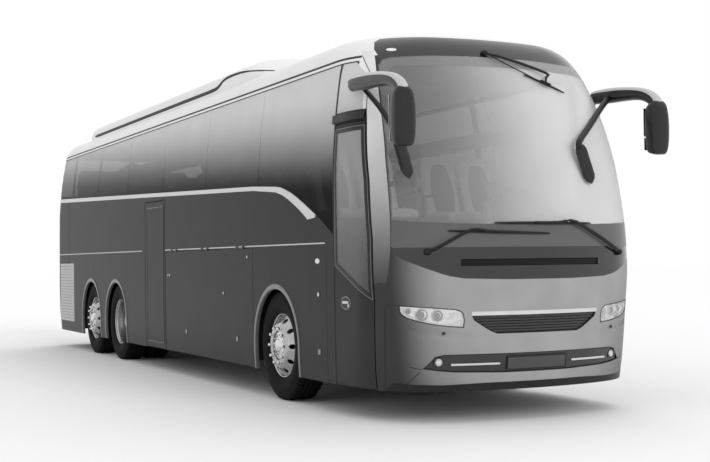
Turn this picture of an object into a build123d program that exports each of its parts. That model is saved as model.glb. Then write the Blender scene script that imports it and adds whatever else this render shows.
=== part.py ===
"""A three-axle touring coach as separate named pieces, in millimetres.

Sizes along the coach are counted forward from the front axle, Y runs to the coach's left and Z up
from the ground. The helpers that make solids add FRONT_AXLE_X, so that the finished origin lies on
the ground in the middle of the coach's length.
"""

from build123d import *
import math
import os

# ------------------------------------------------------------------ driving dimensions: running gear
WHEELBASE = 5900.0            # front axle to drive axle
TAG_SPREAD = 1400.0           # drive axle to tag axle
TYRE_RADIUS = 515.0
TYRE_WIDTH = 295.0
RIM_RADIUS = 285.7            # bead seat of the rim
RIM_FLANGE = 300.0
RIM_WALL = 9.0
WHEEL_FACE = 1235.0           # outer face of the outer tyres, from the centre line
TWIN_GAP = 40.0               # between the two tyres of a twin
KINGPIN_OFFSET = 950.0
KINGPIN_RADIUS = 22.0
STUB_RADIUS = 45.0
AXLE_TUBE_RADIUS = 72.0
AXLE_CLEARANCE = 25.0         # round an axle where it passes a wheel house
RUNNING_FIT = 0.05            # radial clearance of a pin or shaft in its bore
SEAT_FIT = 0.3                # clearance of a piece that lies on a curved surface

# ------------------------------------------------------------------ driving dimensions: body shell
FRONT_REACH = 2595.0          # foremost point of the body, ahead of the front axle
REAR_REACH = 9705.0           # rearmost point, behind the front axle
HALF_WIDTH = 1275.0
SKIRT_HEIGHT = 260.0          # lower edge of the body
GUTTER_HEIGHT = 3030.0        # where the side walls meet the roof
ROOF_HEIGHT = 3285.0
FRONT_BOW = 2540.0            # plan radius of the nose
FRONT_CORNER = 700.0
REAR_BOW = 6000.0
REAR_CORNER = 180.0
WALL = 50.0
GLASS = 8.0
VENT_DEPTH = 30.0
LAMP_DEPTH = 50.0
GRILLE_BAR_LOW = 862.0        # lower edge of the bright bar along the grille's top
BAR_PROUD = 4.0
RECESS = 10.0                 # of the dark grille and bumper insert behind the nose's surface

# Horizontal outlines of the body: height above the ground, how far the nose and the tail lie
# behind their foremost and rearmost points, how far the sides lean in, and the share of the wall
# thickness that counts downward there (0 on an upright wall, 1 on the crown of the roof).
BODY_OUTLINES = [
    # height, nose_back, tail_in, side_in, down
    (SKIRT_HEIGHT, 125, 105, 13, 0.0),
    (450, 90, 45, 3, 0.0),
    (900, 35, 5, 0, 0.0),
    (1250, 0, 0, 0, 0.0),
    (1500, 15, 5, 0, 0.0),
    (2000, 115, 15, 1, 0.0),
    (2450, 265, 35, 25, 0.08),
    (2800, 445, 65, 65, 0.15),
    (GUTTER_HEIGHT, 610, 105, 107, 0.30),
    (3130, 700, 145, 152, 0.60),
    (3205, 810, 205, 225, 0.82),
    (3252, 980, 305, 345, 0.95),
    (ROOF_HEIGHT, 1400, 505, 640, 1.0),
]

# ------------------------------------------------------------------ driving dimensions: openings
REAR_SEAM = -REAR_REACH + 255.0       # side walls end and the rear wall starts
# Rear edge of the nose panel and of the windscreen pillars, from the skirt up: X and height.
NOSE_SEAM = [(1985, 200), (2030, 990), (2018, 1470), (1950, 1960), (1830, 2470), (1800, 2560),
             (1715, 2870), (1560, GUTTER_HEIGHT)]
DOOR_GAP = 10.0
LID_GAP = 7.0
LEAF = 45.0                           # thickness of doors and flaps
FRONT_DOOR_REAR = 1345.0
FRONT_DOOR_TOP = 2465.0
FRONT_DOOR_BOTTOM = 270.0
DOOR_HEAD = 2560.0                    # lower edge of the pane above the front door
CAB_SILL = 1400.0                     # lower edge of the driver's side window
MID_DOOR_FRONT = -3570.0
MID_DOOR_WIDTH = 870.0
MID_DOOR_TOP = 2075.0
BELT_HEIGHT = 1449.0                  # hinge line of the luggage flaps
FLAP_FRONT = -600.0
FLAP_GAP_TO_DOOR = 15.0
HOLD_FLOOR = 330.0
ARCH_RADIUS = 535.0
ARCH_RING = 48.0                      # width of the bright ring round a wheel arch
ARCH_RING_PROUD = 7.0
GLAZING_TOP = 3005.0
GLAZING_FRONT = 1330.0
QUARTER_PANE_REAR = 1365.0
FIRST_PILLAR = -430.0                 # glass joints, evenly spaced between the first and the last
LAST_PILLAR = -8550.0
PILLAR_BAYS = 5
GLASS_JOINT = 8.0
GLASS_LIP = 32.0
SILL_SLOPE = 0.0349                   # the window sill rises towards the tail
SILL_BEND = (-250.0, 2040.0)          # the sill starts to fall here
SILL_KNEE = (583.0, 1876.0)
SILL_END = (GLAZING_FRONT, 1532.0)

DECK_TOP = 1290.0
DECK_THICKNESS = 40.0
CAB_FLOOR = 950.0
CAB_FRONT = 2330.0
STEP_COUNT = 3
STEP_FIRST = 380.0
RAIL_OFFSET = 420.0
RAIL_WIDTH = 80.0
RAIL_BOTTOM = 780.0
RAIL_TOP = 905.0
PLATE = 30.0                          # bulkheads
WHEEL_BOX_HALF = 620.0
WHEEL_BOX_INNER = 575.0
WHEEL_BOX_TOP = 1120.0
SHEET = 6.0

MIRROR_REACH = 2640.0                 # foremost point of the mirrors
MIRROR_OFFSET = 1228.0

# ------------------------------------------------------------------ driving dimensions: gear and fittings
HINGE_OUT = 10.0                      # hinge axis outside the body's surface
HINGE_BARREL = 9.0
HINGE_PIN = 5.0
HINGE_LENGTH = 120.0
HINGE_PLAY = 1.0
HINGE_SHARES = (0.12, 0.5, 0.88)
ENGINE_HINGE_Y = 300.0
GEAR_OUT = 1130.0                     # door posts and leaf pins, from the centre line
POST_RADIUS = 18.0
POST_LOW = 350.0
POST_HIGH = 1980.0
PIN_RADIUS = 12.0
PIN_PLAY = 0.5
BRACKET_WALL = 4.0
ARM_HALF = 10.0
ARM_DEPTH = 40.0
ARM_EYE = 24.0
ARM_HEIGHTS = (620.0, 1500.0)
FRONT_POST_X = 1870.0
FRONT_PIN_X = 1400.0
FRONT_FIXING_X = 2025.0
MID_POST_X = -4330.0
MID_PIN_X = -3690.0
MID_FIXING_X = -4460.0
DOOR_FRAME = 45.0
DOOR_GLASS_REAR = 1290.0              # the pane's lower edge slants down towards the front
DOOR_GLASS_FRONT = 1040.0
DOOR_GLASS_TOP = 2390.0

DECK_FRONT = 1290.0
AISLE_EDGE = 350.0
STAIR_OUTER = 1070.0
STAIR_FRONT = 1835.0
MID_STAIR_INNER = 620.0
NOSE_PLATE_HALF = 900.0
NOSE_PLATE_TOP = 1100.0
RAIL_END = -9440.0
TOW_PLATE = 70.0
TOW_LUG = 56.0                        # reach of a tow lug from the plate that carries it
TOW_HEIGHT = 400.0
TOW_BORE = 20.0
ENGINE_REAR = -9330.0
ENGINE_FRONT = -8130.0
ENGINE_HALF = 330.0
ENGINE_LOW = 480.0

DISC = 13.0
HAND_HOLES = 10
HAND_HOLE = 24.0
HAND_HOLE_CIRCLE = 0.88
EYE_RADIUS = 45.0
EYE_HALF = 60.0
FORK_HALF = 115.0
STUB_END = 1262.0
DRIVE_TUBE_END = 880.0
DRIVE_STUB_END = 1010.0
DIFF_RADIUS = 190.0
SPRING_RADIUS = 85.0
SPRING_SEAT = 500.0
SPRING_OFFSET = 360.0
ARM_REACH = 450.0

SEAT_WIDTH = 440.0
SEAT_PITCH = 820.0
SEAT_FIRST = {"right": 700.0, "left": 60.0}
SEAT_LAST = -9000.0
SEAT_OUT = (520.0, 965.0)            # middles of the two seats of a pair
SEAT_PROFILE = [(110, 0), (300, 0), (300, 360), (480, 380), (470, 490), (70, 480), (-120, 1090),
                (-230, 1080), (-60, 370), (110, 360)]
RACK_INNER = 900.0
RACK_LOW = 2480.0
RACK_DEPTH = 110.0
DRIVER_X = 1080.0
DRIVER_Y = 600.0
DASH_HALF = 1060.0
DASH_PROFILE = [(1870, CAB_FLOOR), (2300, CAB_FLOOR), (2300, 1390), (2200, 1430), (1990, 1440), (1900, 1330)]
STEER_X = 1800.0
STEER_Z = 1660.0
STEER_TILT = 28.0                     # of the column, from upright
STEER_RADIUS = 235.0
STEER_GRIP = 15.0
STEER_HUB = 40.0
STEER_SHAFT = 60.0
STEER_COLUMN = 330.0

MIRROR_HALF = 95.0
MIRROR_ARM = [(1605, 2705), (1605, 2838), (1975, 2832), (2340, 2785), (2530, 2720), (2625, 2645),
              (MIRROR_REACH, 2560), (2605, 2500), (2530, 2520), (2480, 2590), (2415, 2655), (2250, 2690),
              (1970, 2690)]
MIRROR_ROOT = [(1830, 2833), (1830, 2698)]
MIRROR_HEAD = [(2465, 2640), (2560, 2650), (2612, 2600), (2627, 2480), (2622, 2290), (2592, 2195),
               (2530, 2172), (2475, 2200), (2462, 2400)]
AUX_MIRRORS = {
    # side: (root on the pillar, elbow, foot of the mirror)
    "right": ((1800, -1075, 2700), (2200, -1110, 2330), (2370, -1085, 1950)),
    "left": ((1800, 1075, 2700), (2440, 487, 2270), (2460, 597, 1930)),
}
WIPER_LIFT = 45.0
WIPERS = [
    # pivot, elbow, both ends of the blade, all on the glass or the cowl
    ((2398, -937, 1369), (2501, -617, 1535), (2451, -789, 1533), (2585, 79, 1509)),
    ((2437, 864, 1354), (2547, 329, 1600), (2540, -415, 1594), (2515, 522, 1593)),
    ((1972, -140, 3040), (2073, 387, 2876), (2109, 159, 2858), (2137, 547, 2721)),
]
AC_REAR = -8300.0
AC_FRONT = -750.0
AC_SLOPE = 850.0
AC_TAIL_SLOPE = 150.0
AC_SECTION = [(1030, 3150), (1010, 3350), (900, 3430), (700, 3500), (0.01, 3540)]

HUB_HEIGHT = TYRE_RADIUS
TAIL_REACH = REAR_REACH + HINGE_OUT + HINGE_BARREL      # the engine lid's hinges stand proud
FRONT_AXLE_X = (TAIL_REACH - MIRROR_REACH) / 2          # of the front axle, in the finished frame
DRIVE_X = -WHEELBASE
TAG_X = -WHEELBASE - TAG_SPREAD
WHEEL_MID = WHEEL_FACE - TYRE_WIDTH / 2
FAR = 3 * HALF_WIDTH
RIGHT, LEFT = -1, 1
SIDES = (("right", RIGHT), ("left", LEFT))
PARTS = {}
BODY_SOLIDS = {}


# ------------------------------------------------------------------ the body's surface
def body_outline(row, inset):
    """One closed horizontal outline of the body, moved inwards by inset."""
    height, nose_back, tail_in, side_in, down = row
    across = inset * math.sqrt(max(0.0, 1 - down ** 2))
    nose, tail, half = FRONT_REACH - nose_back, REAR_REACH - tail_in, HALF_WIDTH - side_in
    front_corner = min(FRONT_CORNER, 0.8 * half)
    nose_x = nose - FRONT_BOW
    front_x = nose_x + math.sqrt((FRONT_BOW - front_corner) ** 2 - (half - front_corner) ** 2)
    front_turn = math.asin((half - front_corner) / (FRONT_BOW - front_corner))
    tail_x = REAR_BOW - tail
    rear_x = tail_x - math.sqrt((REAR_BOW - REAR_CORNER) ** 2 - (half - REAR_CORNER) ** 2)
    rear_turn = math.asin((half - REAR_CORNER) / (REAR_BOW - REAR_CORNER))

    def on_arc(x, y, radius, turn):
        return (x + radius * math.cos(turn), y + radius * math.sin(turn))

    bow, corner = FRONT_BOW - across, front_corner - across
    stern, rear = REAR_BOW - across, REAR_CORNER - across
    half_turn = (front_turn + math.pi / 2) / 2
    rear_half = (math.pi - rear_turn + math.pi / 2) / 2
    left = [
        on_arc(front_x, half - front_corner, corner, half_turn),
        on_arc(front_x, half - front_corner, corner, math.pi / 2),
        on_arc(rear_x, half - REAR_CORNER, rear, math.pi / 2),
        on_arc(rear_x, half - REAR_CORNER, rear, rear_half),
    ]
    nose_end = on_arc(nose_x, 0, bow, front_turn)
    tail_end = on_arc(tail_x, 0, stern, math.pi - rear_turn)

    def flip(point):
        return (point[0], -point[1])

    edges = [
        ThreePointArc(flip(nose_end), (nose_x + bow, 0), nose_end),
        ThreePointArc(nose_end, left[0], left[1]),
        Line(left[1], left[2]),
        ThreePointArc(left[2], left[3], tail_end),
        ThreePointArc(tail_end, (tail_x - stern, 0), flip(tail_end)),
        ThreePointArc(flip(tail_end), flip(left[3]), flip(left[2])),
        Line(flip(left[2]), flip(left[1])),
        ThreePointArc(flip(left[1]), flip(left[0]), flip(nose_end)),
    ]
    return Pos(FRONT_AXLE_X, 0, height - inset * down) * make_face(Wire(edges))


def body_solid(inset):
    """The whole body as one closed block, inset from the outer surface."""
    if inset not in BODY_SOLIDS:
        outlines = [body_outline(row, inset) for row in BODY_OUTLINES]
        BODY_SOLIDS[inset] = loft(outlines, ruled=True)
    return BODY_SOLIDS[inset]


def side_view(face, side=RIGHT, near=0.0, far=FAR):
    """A face drawn in the XZ plane as a block from near to far out, on one side of the coach."""
    return Pos(FRONT_AXLE_X, side * near, 0) * extrude(face, amount=far - near, dir=(0, side, 0))


def front_view(face, near, far):
    """A face drawn in the YZ plane as a block from X = near to X = far."""
    return Pos(FRONT_AXLE_X + near, 0, 0) * extrude(face, amount=far - near, dir=(1, 0, 0))


def xz(*points):
    """A face in the XZ plane from (x, z) corners."""
    return make_face(Plane.XZ * Polyline(*points, close=True))


def yz(*points):
    """A face in the YZ plane from (y, z) corners."""
    return make_face(Plane.YZ * Polyline(*points, close=True))


def yz_on(side, points):
    """A face in the YZ plane from (distance out, z) corners, on one side of the coach."""
    return yz(*[(side * out, z) for out, z in points])


def yz_mirrored(*half):
    """A face in the YZ plane, symmetric about the centre line, from its left-hand corners."""
    return yz(*half, *[(-y, z) for y, z in reversed(half)])


def block(x, y, z):
    """A box from three (low, high) pairs."""
    size = [abs(high - low) for low, high in (x, y, z)]
    middle = [(low + high) / 2 for low, high in (x, y, z)]
    return Pos(FRONT_AXLE_X, 0, 0) * Pos(*middle) * Box(*size)


def rod(axis, at, radius, low, high):
    """A round bar along X, Y or Z, through the point at."""
    centre = list(at)
    centre["XYZ".index(axis)] = (low + high) / 2
    turn = {"X": (0, 90, 0), "Y": (90, 0, 0), "Z": (0, 0, 0)}[axis]
    return Pos(FRONT_AXLE_X, 0, 0) * Pos(*centre) * Rot(*turn) * Cylinder(radius, abs(high - low))


def solids_of(things):
    """Every solid of a shape or of a list of shapes."""
    if isinstance(things, (list, tuple)):
        return [solid for thing in things for solid in solids_of(thing)]
    return list(things.solids())


def keep(name, *things):
    """Stores a named piece."""
    PARTS[name] = solids_of(list(things))


def seam_x(height):
    """X of the nose seam at a height."""
    for (x0, z0), (x1, z1) in zip(NOSE_SEAM, NOSE_SEAM[1:]):
        if z0 <= height <= z1:
            return x0 + (x1 - x0) * (height - z0) / (z1 - z0)
    return NOSE_SEAM[-1][0]


OUTER = body_solid(0)
INNER = body_solid(WALL)
CABIN = body_solid(WALL + SEAT_FIT)
BEHIND_GLASS = body_solid(GLASS + SEAT_FIT)
SHELL = OUTER - INNER


def skin(region, depth=WALL, proud=0.0):
    """The layer of the body's surface inside a region, from proud of it down to depth."""
    outside = OUTER if proud == 0 else body_solid(-proud)
    return (outside & region) - body_solid(depth)


# ------------------------------------------------------------------ glazing outlines
def sill_z(x):
    """Height of the rising part of the window sill."""
    return SILL_BEND[1] + SILL_SLOPE * (SILL_BEND[0] - x)


def glazing_band():
    """The dark band of side glass: its sill falls in a curve towards the front door."""
    tail = (REAR_SEAM, sill_z(REAR_SEAM))
    straight = Line(tail, SILL_BEND)
    bend = TangentArc(SILL_BEND, SILL_KNEE, tangent=straight % 1)
    fall = TangentArc(SILL_KNEE, SILL_END, tangent=bend % 1)
    rim = Polyline(SILL_END, (GLAZING_FRONT, GLAZING_TOP), (REAR_SEAM, GLAZING_TOP), tail)
    return make_face(Plane.XZ * (straight + bend + fall + rim))


def pane_limits():
    """X of both ends of every side pane behind the front door, from the front."""
    pitch = (FIRST_PILLAR - LAST_PILLAR) / PILLAR_BAYS
    joints = [FIRST_PILLAR - k * pitch for k in range(PILLAR_BAYS + 1)]
    ends = [GLAZING_FRONT + GLASS_JOINT / 2] + joints + [REAR_SEAM - GLASS_JOINT / 2]
    return [(front - GLASS_JOINT / 2, rear + GLASS_JOINT / 2) for front, rear in zip(ends, ends[1:])]


def quarter_pane(foot):
    """The pane ahead of the band: short above the front door, or down to the cab's sill."""
    lean = [(x - 38, z) for x, z in NOSE_SEAM if foot < z < GUTTER_HEIGHT]
    low_front = (seam_x(foot) - 38, foot)
    return xz((QUARTER_PANE_REAR, foot), low_front, *lean,
              (seam_x(GLAZING_TOP) - 75, GLAZING_TOP - 5), (QUARTER_PANE_REAR, GLAZING_TOP))


def side_panes(quarter_foot):
    band = glazing_band()
    panes = []
    for front, rear in pane_limits():
        strip = xz((rear, SKIRT_HEIGHT), (front, SKIRT_HEIGHT), (front, ROOF_HEIGHT), (rear, ROOF_HEIGHT))
        panes.append(band & strip)
    return panes + [quarter_pane(quarter_foot)]


WINDSCREEN_FACE = yz_mirrored((1157, 1412), (1150, 1606), (1135, 2108), (1101, 2535),
                              (1070, 2750), (1022, 2975), (960, 3003), (0.01, 3017))
COWL_FACE = yz_mirrored((0.01, 1145), (300, 1145), (671, 1157), (847, 1195), (1085, 1301),
                        (1146, 1366), (1157, 1412))
HEADER_FACE = yz_mirrored((1002, 2960), (1002, 3090), (960, 3165), (900, 3198), (0.01, 3205))
HEADER_FACE = HEADER_FACE - WINDSCREEN_FACE
HEADLAMP = [(1116, 949), (920, 932), (736, 917), (667, 880), (659, 766), (902, 794), (1076, 850),
            (1113, 905)]
GRILLE_FACE = yz_mirrored((606, 892), (580, 823), (385, 713))
INSERT_FACE = yz_mirrored((805, 555), (953, 443), (712, 412), (0.01, 397))
FOG_LAMP = (840.0, 494.0)             # across and up
FOG_RADIUS = 42.0
VENT_FACE = yz((-700, 1255), (600, 1255), (600, 1310), (-700, 1310))
REAR_GLASS_FACE = yz_mirrored((960, 1780), (930, 2780), (880, 2850))
TAIL_LAMP = [(1035, 820), (1165, 820), (1165, 1420), (1035, 1420)]
ENGINE_LID_HALF = 830.0
ENGINE_LID_LOW = 470.0
ENGINE_LID_TOP = 1420.0
ENGINE_LEAF = yz_mirrored((ENGINE_LID_HALF - LID_GAP, ENGINE_LID_LOW + LID_GAP),
                          (ENGINE_LID_HALF - LID_GAP, ENGINE_LID_TOP - LID_GAP / 2))
SIDE_GRILLE = [(-9380, 1330), (-8600, 1330), (-8480, 1180), (-8400, 410), (-9250, 490)]
NOSE_START = 1000.0                   # the nose's cuts are made ahead of this X
TAIL_START = -REAR_REACH + 500.0


# ------------------------------------------------------------------ doors, flaps and arches
def door_region(gap):
    """The front door, gap inside its opening."""
    front = [(x - gap, z) for x, z in NOSE_SEAM if FRONT_DOOR_BOTTOM < z < FRONT_DOOR_TOP - gap]
    foot = (seam_x(FRONT_DOOR_BOTTOM) - gap, FRONT_DOOR_BOTTOM if gap else SKIRT_HEIGHT - 10)
    head = (seam_x(FRONT_DOOR_TOP) - gap, FRONT_DOOR_TOP - gap)
    return xz((FRONT_DOOR_REAR + gap, foot[1]), foot, *front, head, (FRONT_DOOR_REAR + gap, head[1]))


def mid_door_region(gap):
    low = FRONT_DOOR_BOTTOM if gap else SKIRT_HEIGHT - 10
    rear = MID_DOOR_FRONT - MID_DOOR_WIDTH
    return xz((rear + gap, low), (MID_DOOR_FRONT - gap, low), (MID_DOOR_FRONT - gap, MID_DOOR_TOP - gap),
              (rear + gap, MID_DOOR_TOP - gap))


HOLD_REAR = DRIVE_X + WHEEL_BOX_HALF + PLATE
TOW_LUGS = ((CAB_FRONT - TOW_LUG, CAB_FRONT - SEAT_FIT), (RAIL_END + PLATE + SEAT_FIT, RAIL_END + PLATE + TOW_LUG))
FLAP_REAR = MID_DOOR_FRONT + FLAP_GAP_TO_DOOR + LID_GAP
FLAPS = {
    # name: (side of the coach, front, rear)
    "luggage_flap_right": (RIGHT, FLAP_FRONT, FLAP_REAR),
    "luggage_flap_left_front": (LEFT, FLAP_FRONT, FLAP_REAR),
    "luggage_flap_left_rear": (LEFT, FLAP_REAR - 3 * LID_GAP, HOLD_REAR + LID_GAP),
}


def flap_region(front, rear, gap):
    low = FRONT_DOOR_BOTTOM if gap else SKIRT_HEIGHT - 10
    top = BELT_HEIGHT - gap / 2
    return xz((rear + gap, low), (front - gap, low), (front - gap, top), (rear + gap, top))


def arch_region(x, radius):
    """The opening over a wheel, straight down from the hub's height."""
    disc = make_face(Plane.XZ * Pos(x, HUB_HEIGHT) * Circle(radius).edge())
    return disc + xz((x - radius, 0), (x + radius, 0), (x + radius, HUB_HEIGHT), (x - radius, HUB_HEIGHT))


ARCHES = [0.0, DRIVE_X, TAG_X]


def arch_rings(side):
    """Bright rings round the wheel arches, a little proud of the side."""
    wide = [arch_region(x, ARCH_RADIUS + ARCH_RING) for x in ARCHES]
    clear = [arch_region(x, ARCH_RADIUS) for x in ARCHES]
    low, ends = -2 * TYRE_RADIUS, (TAG_X - 2 * TYRE_RADIUS, 2 * TYRE_RADIUS)
    below = xz((ends[0], low), (ends[1], low), (ends[1], SKIRT_HEIGHT), (ends[0], SKIRT_HEIGHT))
    front = wide[0] - clear[0] - below
    rear = wide[1] + wide[2] - clear[1] - clear[2] - below
    reach = (HALF_WIDTH - WALL, HALF_WIDTH + ARCH_RING_PROUD)
    return [side_view(face, side, *reach) for face in (front, rear)]


def side_wall(side):
    """A side wall from the nose seam to the rear seam, with its glass recesses and openings."""
    zone = xz((REAR_SEAM, 0), (NOSE_SEAM[0][0], 0), *NOSE_SEAM, (REAR_SEAM, GUTTER_HEIGHT))
    wall = SHELL & side_view(zone, side)
    panes = side_panes(DOOR_HEAD if side == RIGHT else CAB_SILL)
    for pane in panes:
        wall = wall - (side_view(pane, side) - BEHIND_GLASS)
        window = offset(pane, -GLASS_LIP, kind=Kind.INTERSECTION)
        wall = wall - side_view(window, side, HALF_WIDTH / 2)
    cuts = [arch_region(x, ARCH_RADIUS + ARCH_RING) for x in ARCHES]
    cuts += [flap_region(front, rear, 0) for place, front, rear in FLAPS.values() if place == side]
    cuts.append(xz(*SIDE_GRILLE))
    if side == RIGHT:
        cuts += [door_region(0), mid_door_region(0)]
    for cut in cuts:
        wall = wall - side_view(cut, side, HALF_WIDTH / 2)
    glass = [(OUTER & side_view(pane, side)) - body_solid(GLASS) for pane in panes]
    return wall, glass


def make_sides():
    for name, side in SIDES:
        wall, glass = side_wall(side)
        keep(f"side_wall_{name}", wall)
        keep(f"side_glass_{name}", *glass)
    keep("arch_rings", *[arch_rings(side) for _, side in SIDES])
    keep("side_grilles", *[skin(side_view(xz(*SIDE_GRILLE), side), 0.6 * WALL) for _, side in SIDES])


def ahead(face):
    """A face drawn from the front as a block that reaches past the nose."""
    return front_view(face, NOSE_START, FAR)


def make_nose():
    zone = xz((NOSE_SEAM[0][0], 0), (FRONT_REACH + 100, 0), (FRONT_REACH + 100, GUTTER_HEIGHT),
              *reversed(NOSE_SEAM))
    nose = SHELL & (side_view(zone, LEFT) + side_view(zone, RIGHT))
    lamp_faces = [yz_on(side, HEADLAMP) for _, side in SIDES]
    for cut in [WINDSCREEN_FACE, COWL_FACE, HEADER_FACE, GRILLE_FACE, INSERT_FACE] + lamp_faces:
        nose = nose - ahead(cut)
    fogs = [rod("X", (0, side * FOG_LAMP[0], FOG_LAMP[1]), FOG_RADIUS, NOSE_START, FAR) for _, side in SIDES]
    for fog in fogs:
        nose = nose - fog
    keep("nose_panel", nose)
    keep("windscreen", skin(ahead(WINDSCREEN_FACE), GLASS))
    keep("cowl_panel", skin(ahead(COWL_FACE)) - (ahead(VENT_FACE) - body_solid(VENT_DEPTH)))
    keep("header_panel", skin(ahead(HEADER_FACE)))
    bar_face = GRILLE_FACE & yz_mirrored((HALF_WIDTH, GRILLE_BAR_LOW), (HALF_WIDTH, FRONT_DOOR_TOP))
    grille = skin(ahead(GRILLE_FACE)) & body_solid(RECESS)
    keep("front_grille", grille + (skin(ahead(bar_face), RECESS, BAR_PROUD)))
    insert = skin(ahead(INSERT_FACE)) & body_solid(RECESS)
    for fog in fogs:
        insert = insert - fog
    fog_lamps = [(OUTER & fog) - body_solid(LAMP_DEPTH) for fog in fogs]
    keep("lower_insert", insert)
    keep("headlamps", *[skin(ahead(face), LAMP_DEPTH) for face in lamp_faces], *fog_lamps)


def astern(face):
    """A face drawn from behind as a block that reaches past the tail."""
    return front_view(face, -2 * REAR_REACH, TAIL_START)


def make_roof_and_tail():
    above = block((-2 * REAR_REACH, 2 * FRONT_REACH), (-FAR, FAR), (GUTTER_HEIGHT, 2 * ROOF_HEIGHT))
    keep("roof_panel", (SHELL & above) - ahead(HEADER_FACE))
    behind = block((-2 * REAR_REACH, REAR_SEAM), (-FAR, FAR), (0, GUTTER_HEIGHT))
    rear = SHELL & behind
    lamp_faces = [yz_on(side, TAIL_LAMP) for _, side in SIDES]
    hatch = yz_mirrored((ENGINE_LID_HALF, ENGINE_LID_LOW), (ENGINE_LID_HALF, ENGINE_LID_TOP))
    for cut in [REAR_GLASS_FACE, hatch] + lamp_faces:
        rear = rear - astern(cut)
    keep("rear_wall", rear)
    keep("rear_glass", skin(astern(REAR_GLASS_FACE), GLASS))
    keep("tail_lamps", *[skin(astern(face)) for face in lamp_faces])

# ------------------------------------------------------------------ hinges, doors and flaps
def hinge(place, turn, reach):
    """A butt hinge along X with its outside towards +Y: (moving knuckle, fixed lugs with the pin)."""
    def strap(x, low, high):
        half = HINGE_LENGTH / 2 if x == 0 else HINGE_LENGTH / 4
        return Pos(x, -reach / 2, (low + high) / 2) * Box(2 * half, reach, abs(high - low))

    def barrel(x, length, radius):
        return Pos(x, 0, 0) * Rot(0, 90, 0) * Cylinder(radius, length)

    side_x = 0.75 * HINGE_LENGTH + HINGE_PLAY
    knuckle = barrel(0, HINGE_LENGTH, HINGE_BARREL) + strap(0, -3 * HINGE_BARREL, -LID_GAP / 2)
    knuckle = knuckle - barrel(0, 2 * HINGE_LENGTH, HINGE_PIN + RUNNING_FIT)
    lugs = barrel(0, 2 * HINGE_LENGTH + 2 * HINGE_PLAY, HINGE_PIN)
    for x in (-side_x, side_x):
        lugs = lugs + barrel(x, HINGE_LENGTH / 2, HINGE_BARREL) + strap(x, 0, 3 * HINGE_BARREL)
    where = Pos(FRONT_AXLE_X, 0, 0) * Pos(*place) * Rot(0, 0, turn)
    return where * knuckle, where * lugs


def make_flaps():
    pins = []
    for name, (side, front, rear) in FLAPS.items():
        flap = skin(side_view(flap_region(front, rear, LID_GAP), side), LEAF)
        for share in HINGE_SHARES:
            x = rear + (front - rear) * share
            place = (x, side * (HALF_WIDTH + HINGE_OUT), BELT_HEIGHT)
            knuckle, lugs = hinge(place, 0 if side == LEFT else 180, HINGE_OUT + 2)
            flap = flap + knuckle
            pins.append(lugs - OUTER)
        keep(name, flap)
    lid = skin(astern(ENGINE_LEAF), LEAF)
    for y in (-ENGINE_HINGE_Y, ENGINE_HINGE_Y):
        place = (-REAR_REACH - HINGE_OUT, y, ENGINE_LID_TOP)
        knuckle, lugs = hinge(place, 90, HINGE_OUT + LEAF / 2)
        lid = lid + (knuckle - body_solid(LEAF))
        pins.append(lugs - OUTER)
    keep("engine_lid", lid)
    PARTS.setdefault("hinge_fixings", []).extend(solids_of(pins))


def swing_gear(side, post_x, pin_x, fixing_x):
    """The parallel swing gear of one door: arm with its post, hinge pin on the leaf, fixed brackets."""
    at_post, at_pin = (post_x, side * GEAR_OUT, 0), (pin_x, side * GEAR_OUT, 0)
    arm = rod("Z", at_post, POST_RADIUS, POST_LOW, POST_HIGH)
    reach = sorted((side * GEAR_OUT - ARM_HALF, side * GEAR_OUT + ARM_HALF))
    for z in ARM_HEIGHTS:
        arm = arm + block(sorted((post_x, pin_x)), reach, (z, z + ARM_DEPTH))
        arm = arm + rod("Z", at_pin, ARM_EYE, z, z + ARM_DEPTH)
    arm = arm - rod("Z", at_pin, PIN_RADIUS + RUNNING_FIT, SKIRT_HEIGHT, GUTTER_HEIGHT)
    top = ARM_HEIGHTS[1] + ARM_DEPTH
    ears = rod("Z", at_pin, PIN_RADIUS, ARM_HEIGHTS[0] - ARM_DEPTH, top + ARM_DEPTH)
    for z in (ARM_HEIGHTS[0] - ARM_DEPTH, top + PIN_PLAY):
        span = sorted((side * (GEAR_OUT - PIN_RADIUS), side * (HALF_WIDTH - LEAF + 2)))
        ears = ears + block((pin_x - PIN_RADIUS, pin_x + PIN_RADIUS), span, (z, z + ARM_DEPTH - PIN_PLAY))
    fixed = []
    for z in (POST_LOW + ARM_DEPTH, POST_HIGH - 2 * ARM_DEPTH):
        inboard = side * (GEAR_OUT - 3 * POST_RADIUS)
        plate = block(sorted((post_x - 2 * POST_RADIUS * (1 if fixing_x > post_x else -1), fixing_x)),
                      sorted((inboard, side * (GEAR_OUT + POST_RADIUS + BRACKET_WALL))), (z, z + ARM_DEPTH))
        foot = block(sorted((fixing_x, fixing_x + (60 if fixing_x > post_x else -60))),
                     sorted((inboard, side * HALF_WIDTH)), (z, z + ARM_DEPTH))
        bore = rod("Z", at_post, POST_RADIUS + RUNNING_FIT, z - 1, z + 2 * ARM_DEPTH)
        fixed.append(((plate + foot) & CABIN) - bore)
    return arm, ears, fixed


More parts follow.
